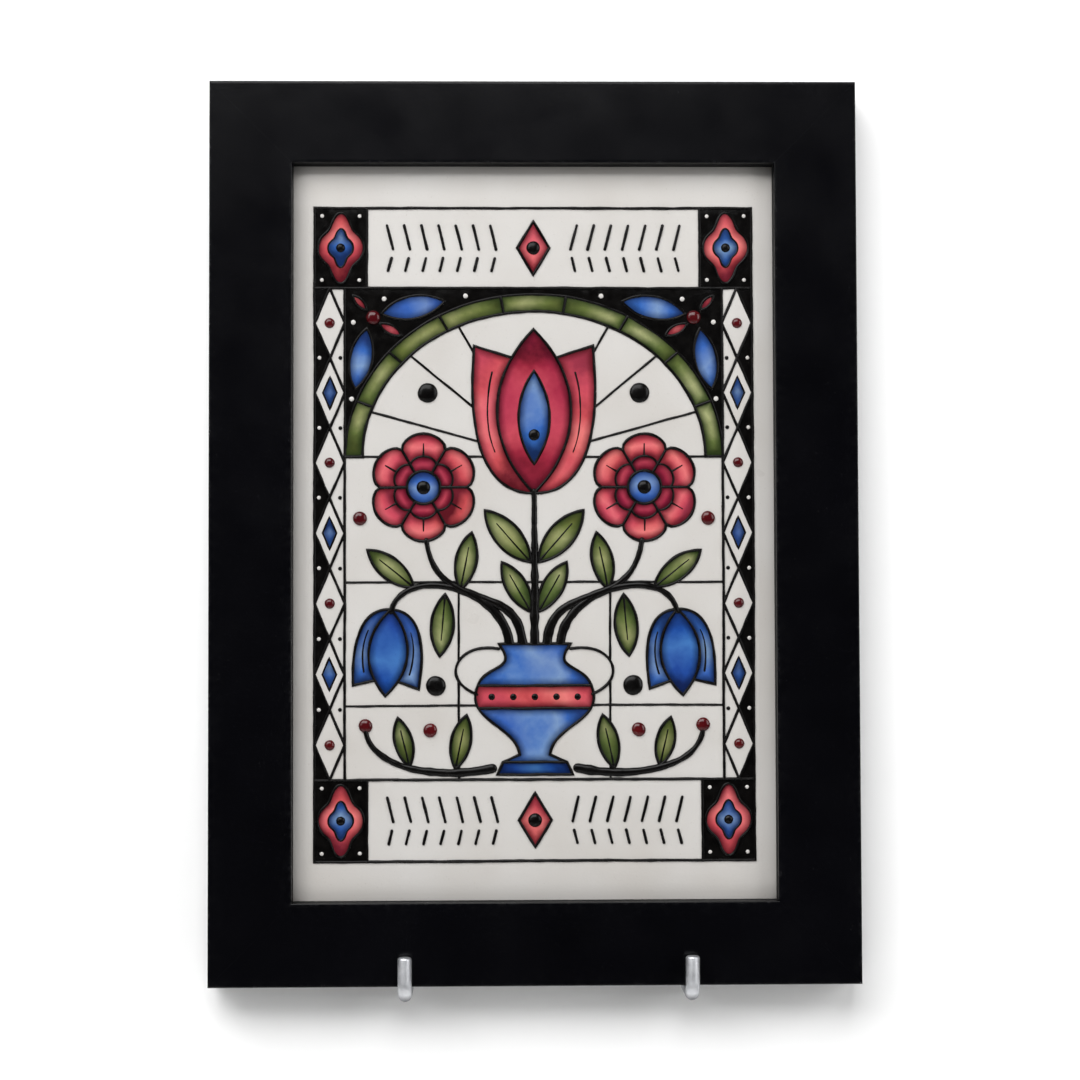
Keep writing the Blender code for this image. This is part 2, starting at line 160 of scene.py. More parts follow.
# Relief over the slab's flat face
LINE_R = 0.0006
LINE_RISE = 0.0007
STEM_RISE = 0.0010
BEAD_RISE = 0.0014
HEART_BEAD_RISE = 0.0012
VASE_BEAD_RISE = 0.0008
SPECK_R = 0.0008
DROP_R = 0.0010
SPECK_RISE = 0.0005
FINE_R = 0.0005
FINE_RISE = 0.0005
FINE_CLEAR = 0.0010
ROOT_DEPTH = 0.0003
LAYER_BASE = (0.00004, 0.00018, 0.00032)
PATCH_RISE = 0.00011
PATCH_SWELL = 0.0016
RIM_REACH = 0.0034

# How finely curves and surfaces are cut
CURVE_STEPS = 22
SCALLOP_STEPS = 14
ROUND_STEPS = 60
ARC_STEPS = 90
LINE_SIDES = 6
LINE_STEP = 0.0011
PATCH_STEP = 0.0012
FACE_STEP = 0.0045
BEAD_SIDES = 28
BEAD_RINGS = 7
BOARD_STEPS = 24
SHORTEST_STEP = 0.12
MITRE_LIMIT = 0.66

# Unevenness of handwork, the same in every run
NOISE_SEED = 7
WANDER = 0.00016
WANDER_WAVE = 0.009
DRIFT = 0.00022
DRIFT_WAVE = 0.05
WIDTH_UNEVEN = 0.22
WIDTH_WAVE = 0.004
FACE_UNEVEN = 0.00003
POOL_WAVE = 0.006
SLAB_WAVE = 0.02
BEAD_UNEVEN = 0.05
BOARD_UNEVEN = 0.00012
BOARD_WAVE = 0.01

# Camera, solved from the four corners of the frame in the photo
CAMERA_PLACE = (-0.0170, -0.91988, -0.0368)
CAMERA_PAN = 1.218
CAMERA_TILT = 2.098
CAMERA_ROLL = -0.179
CAMERA_LENS_MM = 75.86
SENSOR_W_MM = 36

# Wall, floor and lamps. Each lamp has its place, width, height and power, and aims at the origin
STAGE_HALF_W = 2.2
WALL_TOP = 1.8
WALL_Y = 0.0001
HOLE_INSET = 0.0006
FLOOR_Z = -1.25
FLOOR_NEAR = -3.0
LAMPS = (
    ("key", (-0.50, -1.30, 1.32), 2.0, 1.35, 53),
    ("left", (-1.45, -1.30, 0.60), 1.0, 1.2, 8),
    ("right", (1.30, -0.90, 0.35), 0.8, 1.2, 12),
    ("back", (-0.5, 1.4, 0.8), 1.2, 1.2, 22),
)
AMBIENT = 0.06
BACKDROP = 0.86
SKY = (0.98, 0.99, 1.0)

# Glazes: pale, full and deep colour, and the tint that each turns to in places
GLAZES = {
    "red_bead": ((0.30, 0.022, 0.030), (0.17, 0.007, 0.012), (0.05, 0.002, 0.004), (0.20, 0.02, 0.01)),
    "coral": ((0.64, 0.165, 0.155), (0.44, 0.060, 0.066), (0.080, 0.006, 0.011), (0.50, 0.060, 0.110)),
    "crimson": ((0.46, 0.060, 0.085), (0.24, 0.016, 0.034), (0.050, 0.003, 0.008), (0.30, 0.016, 0.060)),
    "blue": ((0.18, 0.285, 0.45), (0.030, 0.110, 0.37), (0.006, 0.018, 0.070), (0.035, 0.070, 0.30)),
    "deep_blue": ((0.050, 0.165, 0.42), (0.010, 0.060, 0.27), (0.003, 0.010, 0.050), (0.020, 0.035, 0.20)),
    "green": ((0.31, 0.325, 0.155), (0.090, 0.125, 0.036), (0.015, 0.026, 0.007), (0.120, 0.130, 0.030)),
}

Stroke = namedtuple("Stroke", "points closed start_r end_r rise blunt", defaults=(False,))
Patch = namedtuple("Patch", "outline colour start end layer")
Bead = namedtuple("Bead", "centre radius colour rise")


def cushion_height(inset):
    """Height of the cushion over the slab's square edge, this far in from the slab's outline."""
    reach = min(inset / CUSHION_W, 1.0)
    return CUSHION_RISE * math.sqrt(1 - (1 - reach) ** 2)


OPENING_W = TILE_W - 2 * LIP_OVERLAP
OPENING_H = TILE_H - 2 * LIP_OVERLAP
FRAME_W = OPENING_W + 2 * RAIL_W
FRAME_H = OPENING_H + 2 * RAIL_W
REBATE_W = LIP_OVERLAP + TILE_PLAY
TILE_BACK = BOARD_T + REST_GAP
TILE_T = TILE_EDGE_T + CUSHION_RISE
LIP_BACK = TILE_BACK + TILE_EDGE_T + cushion_height(LIP_OVERLAP) + REST_GAP
FRAME_D = LIP_BACK + LIP_T
FACE_DEPTH = TILE_BACK + TILE_T
PEG_FOOT = -FRAME_H / 2 - REST_GAP - PEG_D

DRAWN_W = OPENING_W - 2 * MARGIN_SIDE
DRAWN_H = OPENING_H - MARGIN_TOP - MARGIN_BOTTOM
DRAWN_MID = (MARGIN_BOTTOM - MARGIN_TOP) / 2
FIELD_HALF_W = DRAWN_W / 2 - STRIP_W
FIELD_HALF_H = DRAWN_H / 2 - BAND_H


# Points and curves of the drawing, in the plane of the slab: x to the right, y up


def at(across, up):
    """A point of the middle field: shares of its half width and half height from its centre."""
    return Vector((across * FIELD_HALF_W, DRAWN_MID + up * FIELD_HALF_H))


def course(places):
    return [at(*place) for place in places]


def polar(centre, radius, angle):
    return centre + Vector((math.cos(angle), math.sin(angle))) * radius


def circle(centre, radius):
    return [polar(centre, radius, math.tau * k / ROUND_STEPS) for k in range(ROUND_STEPS)]


def cubic(p0, p1, p2, p3):
    """Points along a cubic curve, both ends included."""
    points = []
    for k in range(CURVE_STEPS + 1):
        t = k / CURVE_STEPS
        s = 1 - t
        points.append(p0 * s**3 + p1 * (3 * t * s * s) + p2 * (3 * t * t * s) + p3 * t**3)
    return points


def line(*points):
    return Stroke(list(points), False, LINE_R, LINE_R, LINE_RISE)


def loop(points):
    return Stroke(list(points), True, LINE_R, LINE_R, LINE_RISE)


def fine(*points, taper=0.6):
    return Stroke(list(points), False, FINE_R, FINE_R * taper, FINE_RISE)


def fine_loop(points):
    return Stroke(list(points), True, FINE_R, FINE_R, FINE_RISE)


def stem(p0, p1, p2, p3, blunt=True):
    """A stem. A blunt one starts at a line that closes it off."""
    return Stroke(cubic(p0, p1, p2, p3), False, STEM_R, STEM_TIP_R, STEM_RISE, blunt)


def patch(outline, colour, start=None, end=None, layer=1):
    """An area of one glaze. Its colour runs from start to end, or else from its foot to its top."""
    low = min(outline, key=lambda p: p.y)
    high = max(outline, key=lambda p: p.y)
    return Patch(list(outline), colour, start or low, end or high, layer)


def flipped(point):
    return Vector((-point.x, point.y))


def mirrored(shapes):
    """These shapes, and the same ones on the other side of the middle."""
    other = []
    for shape in shapes:
        if isinstance(shape, Bead):
            other.append(shape._replace(centre=flipped(shape.centre)))
        elif isinstance(shape, Patch):
            outline = [flipped(p) for p in reversed(shape.outline)]
            ends = {"start": flipped(shape.start), "end": flipped(shape.end)}
            other.append(shape._replace(outline=outline, **ends))
        else:
            other.append(shape._replace(points=[flipped(p) for p in shape.points]))
    return shapes + other


def blade_edges(base, tip, curve):
    """The two edges of a leaf or petal."""
    belly, shoulder = curve
    run = tip - base
    side = Vector((-run.y, run.x)) * belly
    edges = []
    for out in (side, -side):
        edges.append(cubic(base, base + run * shoulder + out, base + run * (1 - shoulder) + out, tip))
    return edges


def blade_outline(base, tip, curve=LEAF_CURVE):
    left, right = blade_edges(base, tip, curve)
    return left + right[-2:0:-1]


def leaf(base, tip):
    """A leaf with a fine rib."""
    outline = blade_outline(base, tip)
    rib = fine(base.lerp(tip, 0.04), base.lerp(tip, 0.40), base.lerp(tip, 0.74))
    return [patch(outline, "green", base, tip), loop(outline), rib]


def cup_side(base, tip, spread, turn):
    """The outer edge of a side petal, from its base to its corner."""
    run = tip - base
    side = Vector((-run.y, run.x)) * (turn * spread)
    return cubic(base, base + side * 0.95, base + run * 0.42 + side * 1.12, base + run * 0.90 + side)


def cup(base, tip, spread, middle_colour, side_colour):
    """A flower of three petals: a middle one, and one that flares out on each side behind it."""
    middle = blade_outline(base, tip, PETAL_CURVE)
    shapes = [patch(middle, middle_colour, base, tip), loop(middle)]
    notch = round(NOTCH_AT * CURVE_STEPS)
    for edge, turn in zip(blade_edges(base, tip, PETAL_CURVE), (1, -1)):
        outer = cup_side(base, tip, spread, turn)
        area = outer + edge[notch:0:-1]
        shapes.append(patch(area if turn < 0 else area[::-1], side_colour, base, outer[-1]))
        shapes.append(line(*outer, edge[notch]))
        vein = [edge[j].lerp(outer[j], 0.5) for j in range(round(notch * 0.45), notch + 1)]
        shapes.append(fine(*vein[::-1]))
    return shapes


def cup_silhouette(base, tip, spread):
    return cup_side(base, tip, spread, 1) + [tip] + cup_side(base, tip, spread, -1)[:0:-1]


def rosette(centre):
    """A round flower with scalloped petals round an eye."""
    eye = circle(centre, ROSETTE_EYE_R)
    shapes = [patch(eye, "blue"), loop(eye)]
    outline = []
    for petal in range(PETALS):
        outer = []
        inner = []
        ring = []
        for k in range(SCALLOP_STEPS + 1):
            swell = abs(math.sin(math.pi * k / SCALLOP_STEPS)) ** 0.6
            radius = ROSETTE_R * (ROSETTE_VALLEY + (1 - ROSETTE_VALLEY) * swell)
            angle = math.tau * (petal + k / SCALLOP_STEPS) / PETALS
            outer.append(polar(centre, radius, angle))
            inner.append(polar(centre, ROSETTE_INNER_R * (1 + 0.22 * swell), angle))
            ring.append(polar(centre, ROSETTE_EYE_R, angle))
        middle = SCALLOP_STEPS // 2
        shapes.append(patch(outer + inner[::-1], "coral", inner[middle], outer[middle]))
        shapes.append(patch(inner + ring[::-1], "crimson", ring[middle], inner[middle]))
        shapes.append(line(ring[0], outer[0]))
        shapes.append(fine(*inner, taper=1.0))
        shapes.append(fine(inner[middle], inner[middle].lerp(outer[middle], 0.55)))
        outline += outer[:-1]
    return shapes + [loop(outline)]


def corner_outline(centre, share=1.0):
    """The outline of a lobed flower in a corner block."""
    outline = []
    for k in range(ROUND_STEPS):
        angle = math.tau * k / ROUND_STEPS
        reach = (CORNER_REACH + CORNER_LOBE * math.cos(4 * angle)) * share
        outline.append(centre + Vector((BLOCK_W * math.cos(angle), BAND_H * math.sin(angle))) * reach)
    return outline


def rectangle(low_x, high_x, low_y, high_y):
    corners = ((low_x, low_y), (high_x, low_y), (high_x, high_y), (low_x, high_y))
    return [Vector(corner) for corner in corners]


def lozenge(centre, half_w, half_h, share=1.0):
    corners = ((half_w, 0), (0, half_h), (-half_w, 0), (0, -half_h))
    return [centre + Vector(corner) * share for corner in corners]


def borders():
    """The outer line, the two bands with their corner blocks, and the side strips."""
    half_w = DRAWN_W / 2
    half_h = DRAWN_H / 2
    shapes = [loop(rectangle(-half_w, half_w, DRAWN_MID - half_h, DRAWN_MID + half_h))]
    sides = [line(at(1, -1), at(1, 1))]
    for turn in (1, -1):
        inner = DRAWN_MID + turn * FIELD_HALF_H
        outer = DRAWN_MID + turn * half_h
        shapes.append(line(Vector((-half_w, inner)), Vector((half_w, inner))))
        sides.append(line(Vector((half_w - BLOCK_W, inner)), Vector((half_w - BLOCK_W, outer))))
        block = rectangle(half_w - BLOCK_W, half_w, min(inner, outer), max(inner, outer))
        sides.append(patch(block, "black", layer=0))
        centre = Vector((half_w - BLOCK_W / 2, (inner + outer) / 2))
        flower = corner_outline(centre)
        eye = corner_outline(centre, EYE_SHARE)
        sides += [patch(flower, "coral"), loop(flower), patch(eye, "blue", layer=2)]
        sides.append(fine_loop(eye))
        sides.append(Bead(centre, CORNER_BEAD_R, "black", BEAD_RISE))
        for across, up in ((0.36, 0.40), (-0.36, 0.40), (0.36, -0.40), (-0.36, -0.40)):
            spot = centre + Vector((across * BLOCK_W, up * BAND_H))
            sides.append(Bead(spot, SPECK_R, "white", SPECK_RISE))
    return shapes + mirrored(sides)


def lozenge_strips():
    """A chain of pale lozenges down each side, black outside it, with a bead or blue lozenge in each."""
    step = 2 * FIELD_HALF_H / LOZENGES
    edges = (FIELD_HALF_W, FIELD_HALF_W + STRIP_W)
    middle = sum(edges) / 2
    low = DRAWN_MID - FIELD_HALF_H
    shapes = [patch(rectangle(middle, edges[1], low, low + 2 * FIELD_HALF_H), "black", layer=0)]
    for turn in (0, 1):
        zigzag = []
        for k in range(LOZENGES + 1):
            zigzag.append(Vector((middle, low + k * step)))
            if k < LOZENGES:
                zigzag.append(Vector((edges[(k + turn) % 2], low + (k + 0.5) * step)))
        shapes.append(line(*zigzag))
    for k in range(LOZENGES):
        centre = Vector((middle, low + (k + 0.5) * step))
        shapes.append(patch(lozenge(centre, STRIP_W / 2, step / 2), "ground"))
        if k % 2 == 0:
            shapes.append(Bead(centre, STRIP_BEAD_R, "red", BEAD_RISE))
        else:
            small = lozenge(centre, STRIP_W / 2, step / 2, INNER_LOZENGE_SHARE)
            shapes.append(patch(small, "blue", layer=2))
            shapes.append(fine_loop(small))
    for k in range(1, LOZENGES):
        for x, colour in zip(edges, ("black", "white")):
            spot = Vector((x + (middle - x) * 0.30, low + k * step))
            shapes.append(Bead(spot, SPECK_R, colour, SPECK_RISE))
    return mirrored(shapes)


def arch_ring(inset, first=0.0, last=1.0, steps=ARC_STEPS):
    """Points on one of the two half ovals, from a share of its turn to another."""
    spring = at(0, ARCH_SPRING_AT)
    rise = ARCH_RISE_SHARE * FIELD_HALF_H - inset
    points = []
    for k in range(steps + 1):
        angle = math.pi * (first + (last - first) * k / steps)
        points.append(spring + Vector(((FIELD_HALF_W - inset) * math.cos(angle), rise * math.sin(angle))))
    return points


def arch():
    """Two half ovals over the field with short bars between them, and the black over them."""
    outer = arch_ring(0)
    inner = arch_ring(ARCH_BAND)
    shapes = [line(*outer), line(outer[0], *inner, outer[-1])]
    shapes.append(patch([*outer, at(-1, 1), at(1, 1)], "black", layer=0))
    cuts = [0] + [k / ARCH_BARS for k in range(2, ARCH_BARS - 1, 2)] + [1]
    for k, (first, last) in enumerate(zip(cuts, cuts[1:])):
        steps = round((last - first) * ARC_STEPS)
        low = arch_ring(0, first, last, steps)
        high = arch_ring(ARCH_BAND, first, last, steps)
        near, far = (low[0], low[-1]) if k % 2 == 0 else (low[-1], low[0])
        shapes.append(patch(low + high[::-1], "green", near, far))
        if k:
            shapes.append(line(low[0], high[0]))
    fan = []
    for *ends, colour in FAN:
        petal = blade_outline(*course(ends))
        fan += [patch(petal, colour, *course(ends)), loop(petal)]
    fan += [Bead(spot, DROP_R, "white", SPECK_RISE) for spot in course(WHITE_DROPS)]
    return shapes + mirrored(fan)


def vase_profile():
    """Points up the right side of the vase, and the places of its bands among them."""
    foot = [at(0.20, -0.98), at(0.17, -0.93), at(0.08, -0.90)]
    belly = cubic(at(0.08, -0.90), at(0.10, -0.78), at(0.38, -0.76), at(0.30, -0.62))
    neck = cubic(at(0.30, -0.62), at(0.26, -0.53), at(0.08, -0.56), at(0.19, -0.45))
    widest = len(foot) + CURVE_STEPS - 1
    return foot + belly[1:] + neck[1:], (1, widest - round(CURVE_STEPS / 4), widest)


def vase():
    """A footed vase with bands round its body and a handle on each side."""
    right, cuts = vase_profile()
    left = [flipped(p) for p in right]
    shapes = [loop(right + left[::-1])]
    ends = (0, *cuts, len(right) - 1)
    for low, high, colour in zip(ends, ends[1:], ("deep_blue", "blue", "coral", "blue")):
        outline = right[low : high + 1] + left[low : high + 1][::-1]
        shapes.append(patch(outline, colour, left[low], right[high]))
        if low:
            shapes.append(line(left[low], right[low]))
    side = [line(*cubic(*course(HANDLE)))]
    middle = (right[cuts[1]] + right[cuts[2]]) / 2
    for share in (0.0, 0.38, 0.76):
        spot = Vector((middle.x * share, middle.y))
        side.append(Bead(spot, VASE_BEAD_R, "black", VASE_BEAD_RISE))
    return shapes + mirrored(side)


def growth():
    """Stems, flowers, leaves and beads that rise from the vase, the same on both sides."""
    heart = blade_outline(*course(HEART), HEART_CURVE)
    middle = [stem(at(0, -0.45), at(0, -0.3), at(0, 0), at(0, 0.17))]
    middle += cup(*course(TULIP), TULIP_SPREAD, "crimson", "coral")
    middle += [patch(heart, "blue", *course(HEART), 2), loop(heart)]
    middle.append(Bead(at(0, 0.40), HEART_BEAD_R, "black", HEART_BEAD_RISE))

    side = [stem(at(0.065, -0.45), at(0.08, -0.18), at(0.52, -0.34), at(0.57, -0.03))]
    side += rosette(at(*ROSETTE_AT))
    side.append(stem(at(0.135, -0.45), at(0.15, -0.22), at(0.70, -0.12), at(0.755, -0.32)))
    side += cup(*course(BELL), BELL_SPREAD, "deep_blue", "blue")
    for ends in LEAVES:
        side += leaf(*course(ends))
    side.append(stem(at(0.225, -0.955), at(0.50, -1.00), at(0.86, -0.96), at(0.89, -0.80), False))
    side += [Bead(spot, DOT_R, "black", BEAD_RISE) for spot in course(BLACK_DOTS)]
    side.append(Bead(at(*ROSETTE_AT), SMALL_DOT_R, "black", BEAD_RISE))
    side += [Bead(spot, SMALL_DOT_R, "red", BEAD_RISE) for spot in course(RED_DOTS)]
    return middle + mirrored(side)


def bands():
    """Two rows of plain leaning strokes in each band, on both sides of a lozenge."""
    lozenges = []
    side = []
    start = BAND_H / 2
    end = DRAWN_W / 2 - BLOCK_W - STROKE_CLEAR
    rows = (
        (STROKE_LONG, (STROKE_ROW_GAP + STROKE_SHORT) / 2, STROKE_LEAN),
        (STROKE_SHORT, -(STROKE_ROW_GAP + STROKE_LONG) / 2, -STROKE_LEAN),
    )
    for turn in (1, -1):
        middle = DRAWN_MID + turn * (DRAWN_H / 2 - BAND_H / 2)
        for length, up, lean in rows:
            angle = math.radians(lean)
            tilt = Vector((math.sin(angle), math.cos(angle))) * length / 2
            for k in range(int((end - start) / STROKE_PITCH) + 1):
                centre = Vector((start + k * STROKE_PITCH, middle + up))
                side.append(line(centre - tilt, centre + tilt))
        outline = lozenge(Vector((0, middle)), BAND_H / 5, BAND_H / 3)
        lozenges += [patch(outline, "coral"), loop(outline)]
        lozenges.append(Bead(Vector((0, middle)), SMALL_DOT_R, "black", BEAD_RISE))
    return lozenges + mirrored(side)


# Fine lines that run behind the growth, as the leads of a fanlight do


def inside(point, outline):
    """Whether a point lies in a closed outline."""
    hit = False
    for k, corner in enumerate(outline):
        last = outline[k - 1]
        if (corner.y > point.y) != (last.y > point.y):
            cross = last.x + (point.y - last.y) / (corner.y - last.y) * (corner.x - last.x)
            hit ^= point.x < cross
    return hit


def covers():
    """Outlines of what hides the fine lines."""
    right, _ = vase_profile()
    middle = [right + [flipped(p) for p in right[::-1]], cup_silhouette(*course(TULIP), TULIP_SPREAD)]
    side = [circle(at(*ROSETTE_AT), ROSETTE_R * 0.97), cubic(*course(HANDLE))]
    side.append(cup_silhouette(*course(BELL), BELL_SPREAD))
    side += [blade_outline(*course(ends)) for ends in LEAVES]
    side += [circle(spot, DOT_R + FINE_CLEAR) for spot in course(BLACK_DOTS)]
    side += [circle(spot, SMALL_DOT_R + FINE_CLEAR) for spot in course(RED_DOTS)]
    return middle + side + [[flipped(p) for p in outline] for outline in side]


def shown(start, end, hidden):
    """The stretches of a straight line that no cover hides."""
    steps = max(2, int((end - start).length / (LINE_STEP / 2)))
    stretches = [[]]
    for k in range(steps + 1):
        point = start.lerp(end, k / steps)
        if any(inside(point, outline) for outline in hidden):
            if stretches[-1]:
                stretches.append([])
        else:
            stretches[-1].append(point)
    return [fine(s[0], s[-1], taper=1.0) for s in stretches if len(s) > 3]


def fanlight():
    """Straight leads: rays under the arch, and a grid behind the growth."""
    hidden = covers()
    hub = at(0, ARCH_SPRING_AT)
    ring = arch_ring(ARCH_BAND)
    shapes = []
    for share in (0.10, 0.24, 0.36, 0.64, 0.76, 0.90):
        shapes += shown(hub, ring[round(share * ARC_STEPS)], hidden)
    for up in (ARCH_SPRING_AT, -0.20, -0.70):
        for across in (1, -1):
            shapes += shown(at(0, up), at(across, up), hidden)
    for across in (0.40, -0.40):
        shapes += shown(at(across, -1), at(across, -0.20), hidden)
    return shapes


# Meshes


def wandered(point):
    """The point, moved a little as an unsteady hand would."""
    spot = Vector((point.x, point.y, 0.0))
    moved = noise.noise_vector(spot / WANDER_WAVE) * WANDER + noise.noise_vector(spot / DRIFT_WAVE) * DRIFT
    return Vector((point.x + moved.x, point.y + moved.y))


def dense(points, closed, step):
    """The same path with no stretch longer than step, wandered."""
    path = []
    count = len(points)
    for k in range(count if closed else count - 1):
        here = points[k]
        there = points[(k + 1) % count]
        parts = max(1, math.ceil((there - here).length / step))
        path += [here.lerp(there, j / parts) for j in range(parts)]
    if not closed:
        path.append(points[-1])
    kept = [path[0]]
    for point in path[1:]:
        if (point - kept[-1]).length > step * SHORTEST_STEP:
            kept.append(point)
    if closed and (kept[0] - kept[-1]).length < step * SHORTEST_STEP:
        kept.pop()
    return [wandered(p) for p in kept]


def on_face(point, height):
    """The place of a point of the drawing, this high over the slab's flat face."""
    return (point.x, -(FACE_DEPTH + height), point.y)


class Builder:
    """Collects vertices, faces and values for one mesh."""

    def __init__(self):
        self.places = []
        self.faces = []
        self.slots = []
        self.values = {}

    def add(self, places, **values):
        first = len(self.places)
        self.places += places
        for name, numbers in values.items():
            self.values.setdefault(name, {}).update(enumerate(numbers, first))
        return first

    def face(self, corners, slot=0):
        self.faces.append(corners)
        self.slots.append(slot)

    def bridge(self, low, high, slots):
        """Faces between two rings, given by the first vertex of each, with a slot for each face."""
        for k, slot in enumerate(slots):
            j = (k + 1) % len(slots)
            self.face((low + k, low + j, high + j, high + k), slot)

    def cap(self, first, count, slot=0, turn=1):
        """A face over a whole ring, turned over where turn is -1."""
        self.face(tuple(range(first, first + count))[::turn], slot)

    def rings(self, rings, closed=False, capped=True, slot=0):
        """Faces between rings of the same number of places."""
        count = len(rings[0])
        firsts = [self.add(ring) for ring in rings]
        pairs = list(zip(firsts, firsts[1:]))
        if closed:
            pairs.append((firsts[-1], firsts[0]))
        for low, high in pairs:
            self.bridge(low, high, [slot] * count)
        if capped and not closed:
            self.cap(firsts[0], count, slot, -1)
            self.cap(firsts[-1], count, slot)
        return firsts

    def finish(self, name, finishes, slot_name, *nodes, sharp):
        """Makes the piece, smooth but for edges sharper than this many degrees."""
        mesh = bpy.data.meshes.new(name)
        mesh.from_pydata(self.places, [], self.faces)
        for finish in finishes:
            mesh.materials.append(finish)
        mesh.polygons.foreach_set("material_index", self.slots)
        for value, numbers in self.values.items():
            layer = mesh.attributes.new(value, "FLOAT", "POINT")
            filled = np.zeros(len(self.places), dtype=np.float32)
            filled[list(numbers.keys())] = list(numbers.values())
            layer.data.foreach_set("value", filled)
        bm = bmesh.new()
        bm.from_mesh(mesh)
        bmesh.ops.recalc_face_normals(bm, faces=bm.faces)
        bm.to_mesh(mesh)
        bm.free()
        mesh.shade_smooth()
        mesh.set_sharp_from_angle(angle=math.radians(sharp))
        made = bpy.data.objects.new(name, mesh)
        bpy.context.scene.collection.objects.link(made)
        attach(made, "root")
        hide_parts(*nodes)
        return made


def ripple(point, wave, seed):
    """Smooth noise over the plane, in waves about this long."""
    return noise.noise(Vector((point.x / wave, point.y / wave, seed)))


def add_stroke(builder, stroke, seed):
    """A half-round raised line, its foot a little under the face."""
    path = dense(stroke.points, stroke.closed, LINE_STEP)
    count = len(path)
    stations = []
    for k, point in enumerate(path):
        before = path[k - 1] if stroke.closed or k else None
        after = path[(k + 1) % count] if stroke.closed or k < count - 1 else None
        pairs = ((before, point), (point, after))
        runs = [(b - a).normalized() for a, b in pairs if a is not None and b is not None]
        along = sum(runs, Vector((0, 0))).normalized()
        mitre = 1 / max(MITRE_LIMIT, along.dot(runs[0]))
        radius = stroke.start_r + (stroke.end_r - stroke.start_r) * k / max(1, count - 1)
        radius *= 1 + WIDTH_UNEVEN * ripple(point, WIDTH_WAVE, seed)
        rise = stroke.rise * (1 + WIDTH_UNEVEN * ripple(point, WIDTH_WAVE, seed + 0.5))
        stations.append((point, along, radius, mitre, rise))
    if not stroke.closed:
        stations += rounded_end(stations[-1], 1)
        if not stroke.blunt:
            stations = rounded_end(stations[0], -1)[::-1] + stations
    rings = []
    for point, along, radius, mitre, rise in stations:
        side = Vector((-along.y, along.x)) * radius * mitre
        ring = [on_face(point - side, -ROOT_DEPTH), on_face(point + side, -ROOT_DEPTH)]
        for j in range(LINE_SIDES + 1):
            angle = math.pi * j / LINE_SIDES
            ring.append(on_face(point + side * math.cos(angle), rise * math.sin(angle)))
        rings.append(ring)
    builder.rings(rings, stroke.closed)


def rounded_end(station, turn):
    """Stations that close a line with a rounded end."""
    point, along, radius, _, rise = station
    ends = []
    for angle in (30, 55, 78):
        reach = math.sin(math.radians(angle)) * radius * turn
        share = math.cos(math.radians(angle))
        ends.append((point + along * reach, along, radius * share, 1.0, rise * share))
    return ends


def add_bead(builder, bead, seed):
    """A round drop of slip or glaze, not quite even."""
    centre = wandered(bead.centre)
    rings = []
    for ring in range(BEAD_RINGS):
        angle = math.pi / 2 * ring / BEAD_RINGS
        reach = bead.radius * math.cos(angle) ** 0.85
        places = []
        for k in range(BEAD_SIDES):
            turn = math.tau * k / BEAD_SIDES
            lump = 1 + BEAD_UNEVEN * noise.noise(Vector((math.cos(turn), math.sin(turn), seed * 3.7)))
            places.append(on_face(polar(centre, reach * lump, turn), bead.rise * math.sin(angle)))
        rings.append(places)
    root = [(x, -(FACE_DEPTH - ROOT_DEPTH), z) for x, _, z in rings[0]]
    builder.rings([root, *rings])


def grid_inside(outline, edge):
    """Points in even rows inside an outline, clear of its edge."""
    low, high = edge.min(axis=0), edge.max(axis=0)
    grid = []
    row = 0
    y = low[1]
    while y < high[1]:
        x = low[0] + (row % 2) * PATCH_STEP / 2
        while x < high[0]:
            grid.append((x, y))
            x += PATCH_STEP
        y += PATCH_STEP * 0.87
        row += 1
    gaps = edge_gap(np.array(grid), edge) if grid else []
    clear = [Vector(point) for point, gap in zip(grid, gaps) if gap > PATCH_STEP * 0.5]
    return [point for point in clear if inside(point, outline)]


def add_patch(builder, area, seed):
    """A thin pool of glaze: low along its edge, where a line covers it, and swelling further in."""
    outline = dense(area.outline, True, PATCH_STEP)
    edge = np.array([(p.x, p.y) for p in outline])
    spots = [Vector(p) for p in edge] + grid_inside(outline, edge)
    count = len(outline)
    sides = [(k, (k + 1) % count) for k in range(count)]
    cut = geometry.delaunay_2d_cdt(spots, sides, [list(range(count))], 1, 1e-7)
    places, triangles = cut[0], cut[2]
    base = LAYER_BASE[area.layer]
    run = wandered(area.end) - wandered(area.start)
    solid = []
    rims = []
    alongs = []
    for point, inset in zip(places, edge_gap(np.array([(p.x, p.y) for p in places]), edge)):
        swell = 1 - math.exp(-((inset / PATCH_SWELL) ** 2))
        uneven = FACE_UNEVEN * ripple(point, POOL_WAVE, seed)
        solid.append(on_face(point, base + (PATCH_RISE + uneven) * swell))
        rims.append(min(inset / RIM_REACH, 1.0))
        alongs.append((point - area.start).dot(run) / max(run.length_squared, 1e-9))
    shade = noise.noise(Vector((seed * 7.3, 0.4, 0.9)))
    first = builder.add(solid, rim=rims, along=alongs, shade=[shade] * len(solid))
    for triangle in triangles:
        builder.face(tuple(first + k for k in triangle))
    rim_order = boundary(triangles)
    count = len(rim_order)
    roots = [on_face(places[k], -ROOT_DEPTH) for k in rim_order]
    root_alongs = [alongs[k] for k in rim_order]
    below = builder.add(roots, rim=[0.0] * count, along=root_alongs, shade=[shade] * count)
    for k in range(count):
        j = (k + 1) % count
        builder.face((first + rim_order[k], first + rim_order[j], below + j, below + k))
    builder.cap(below, count)


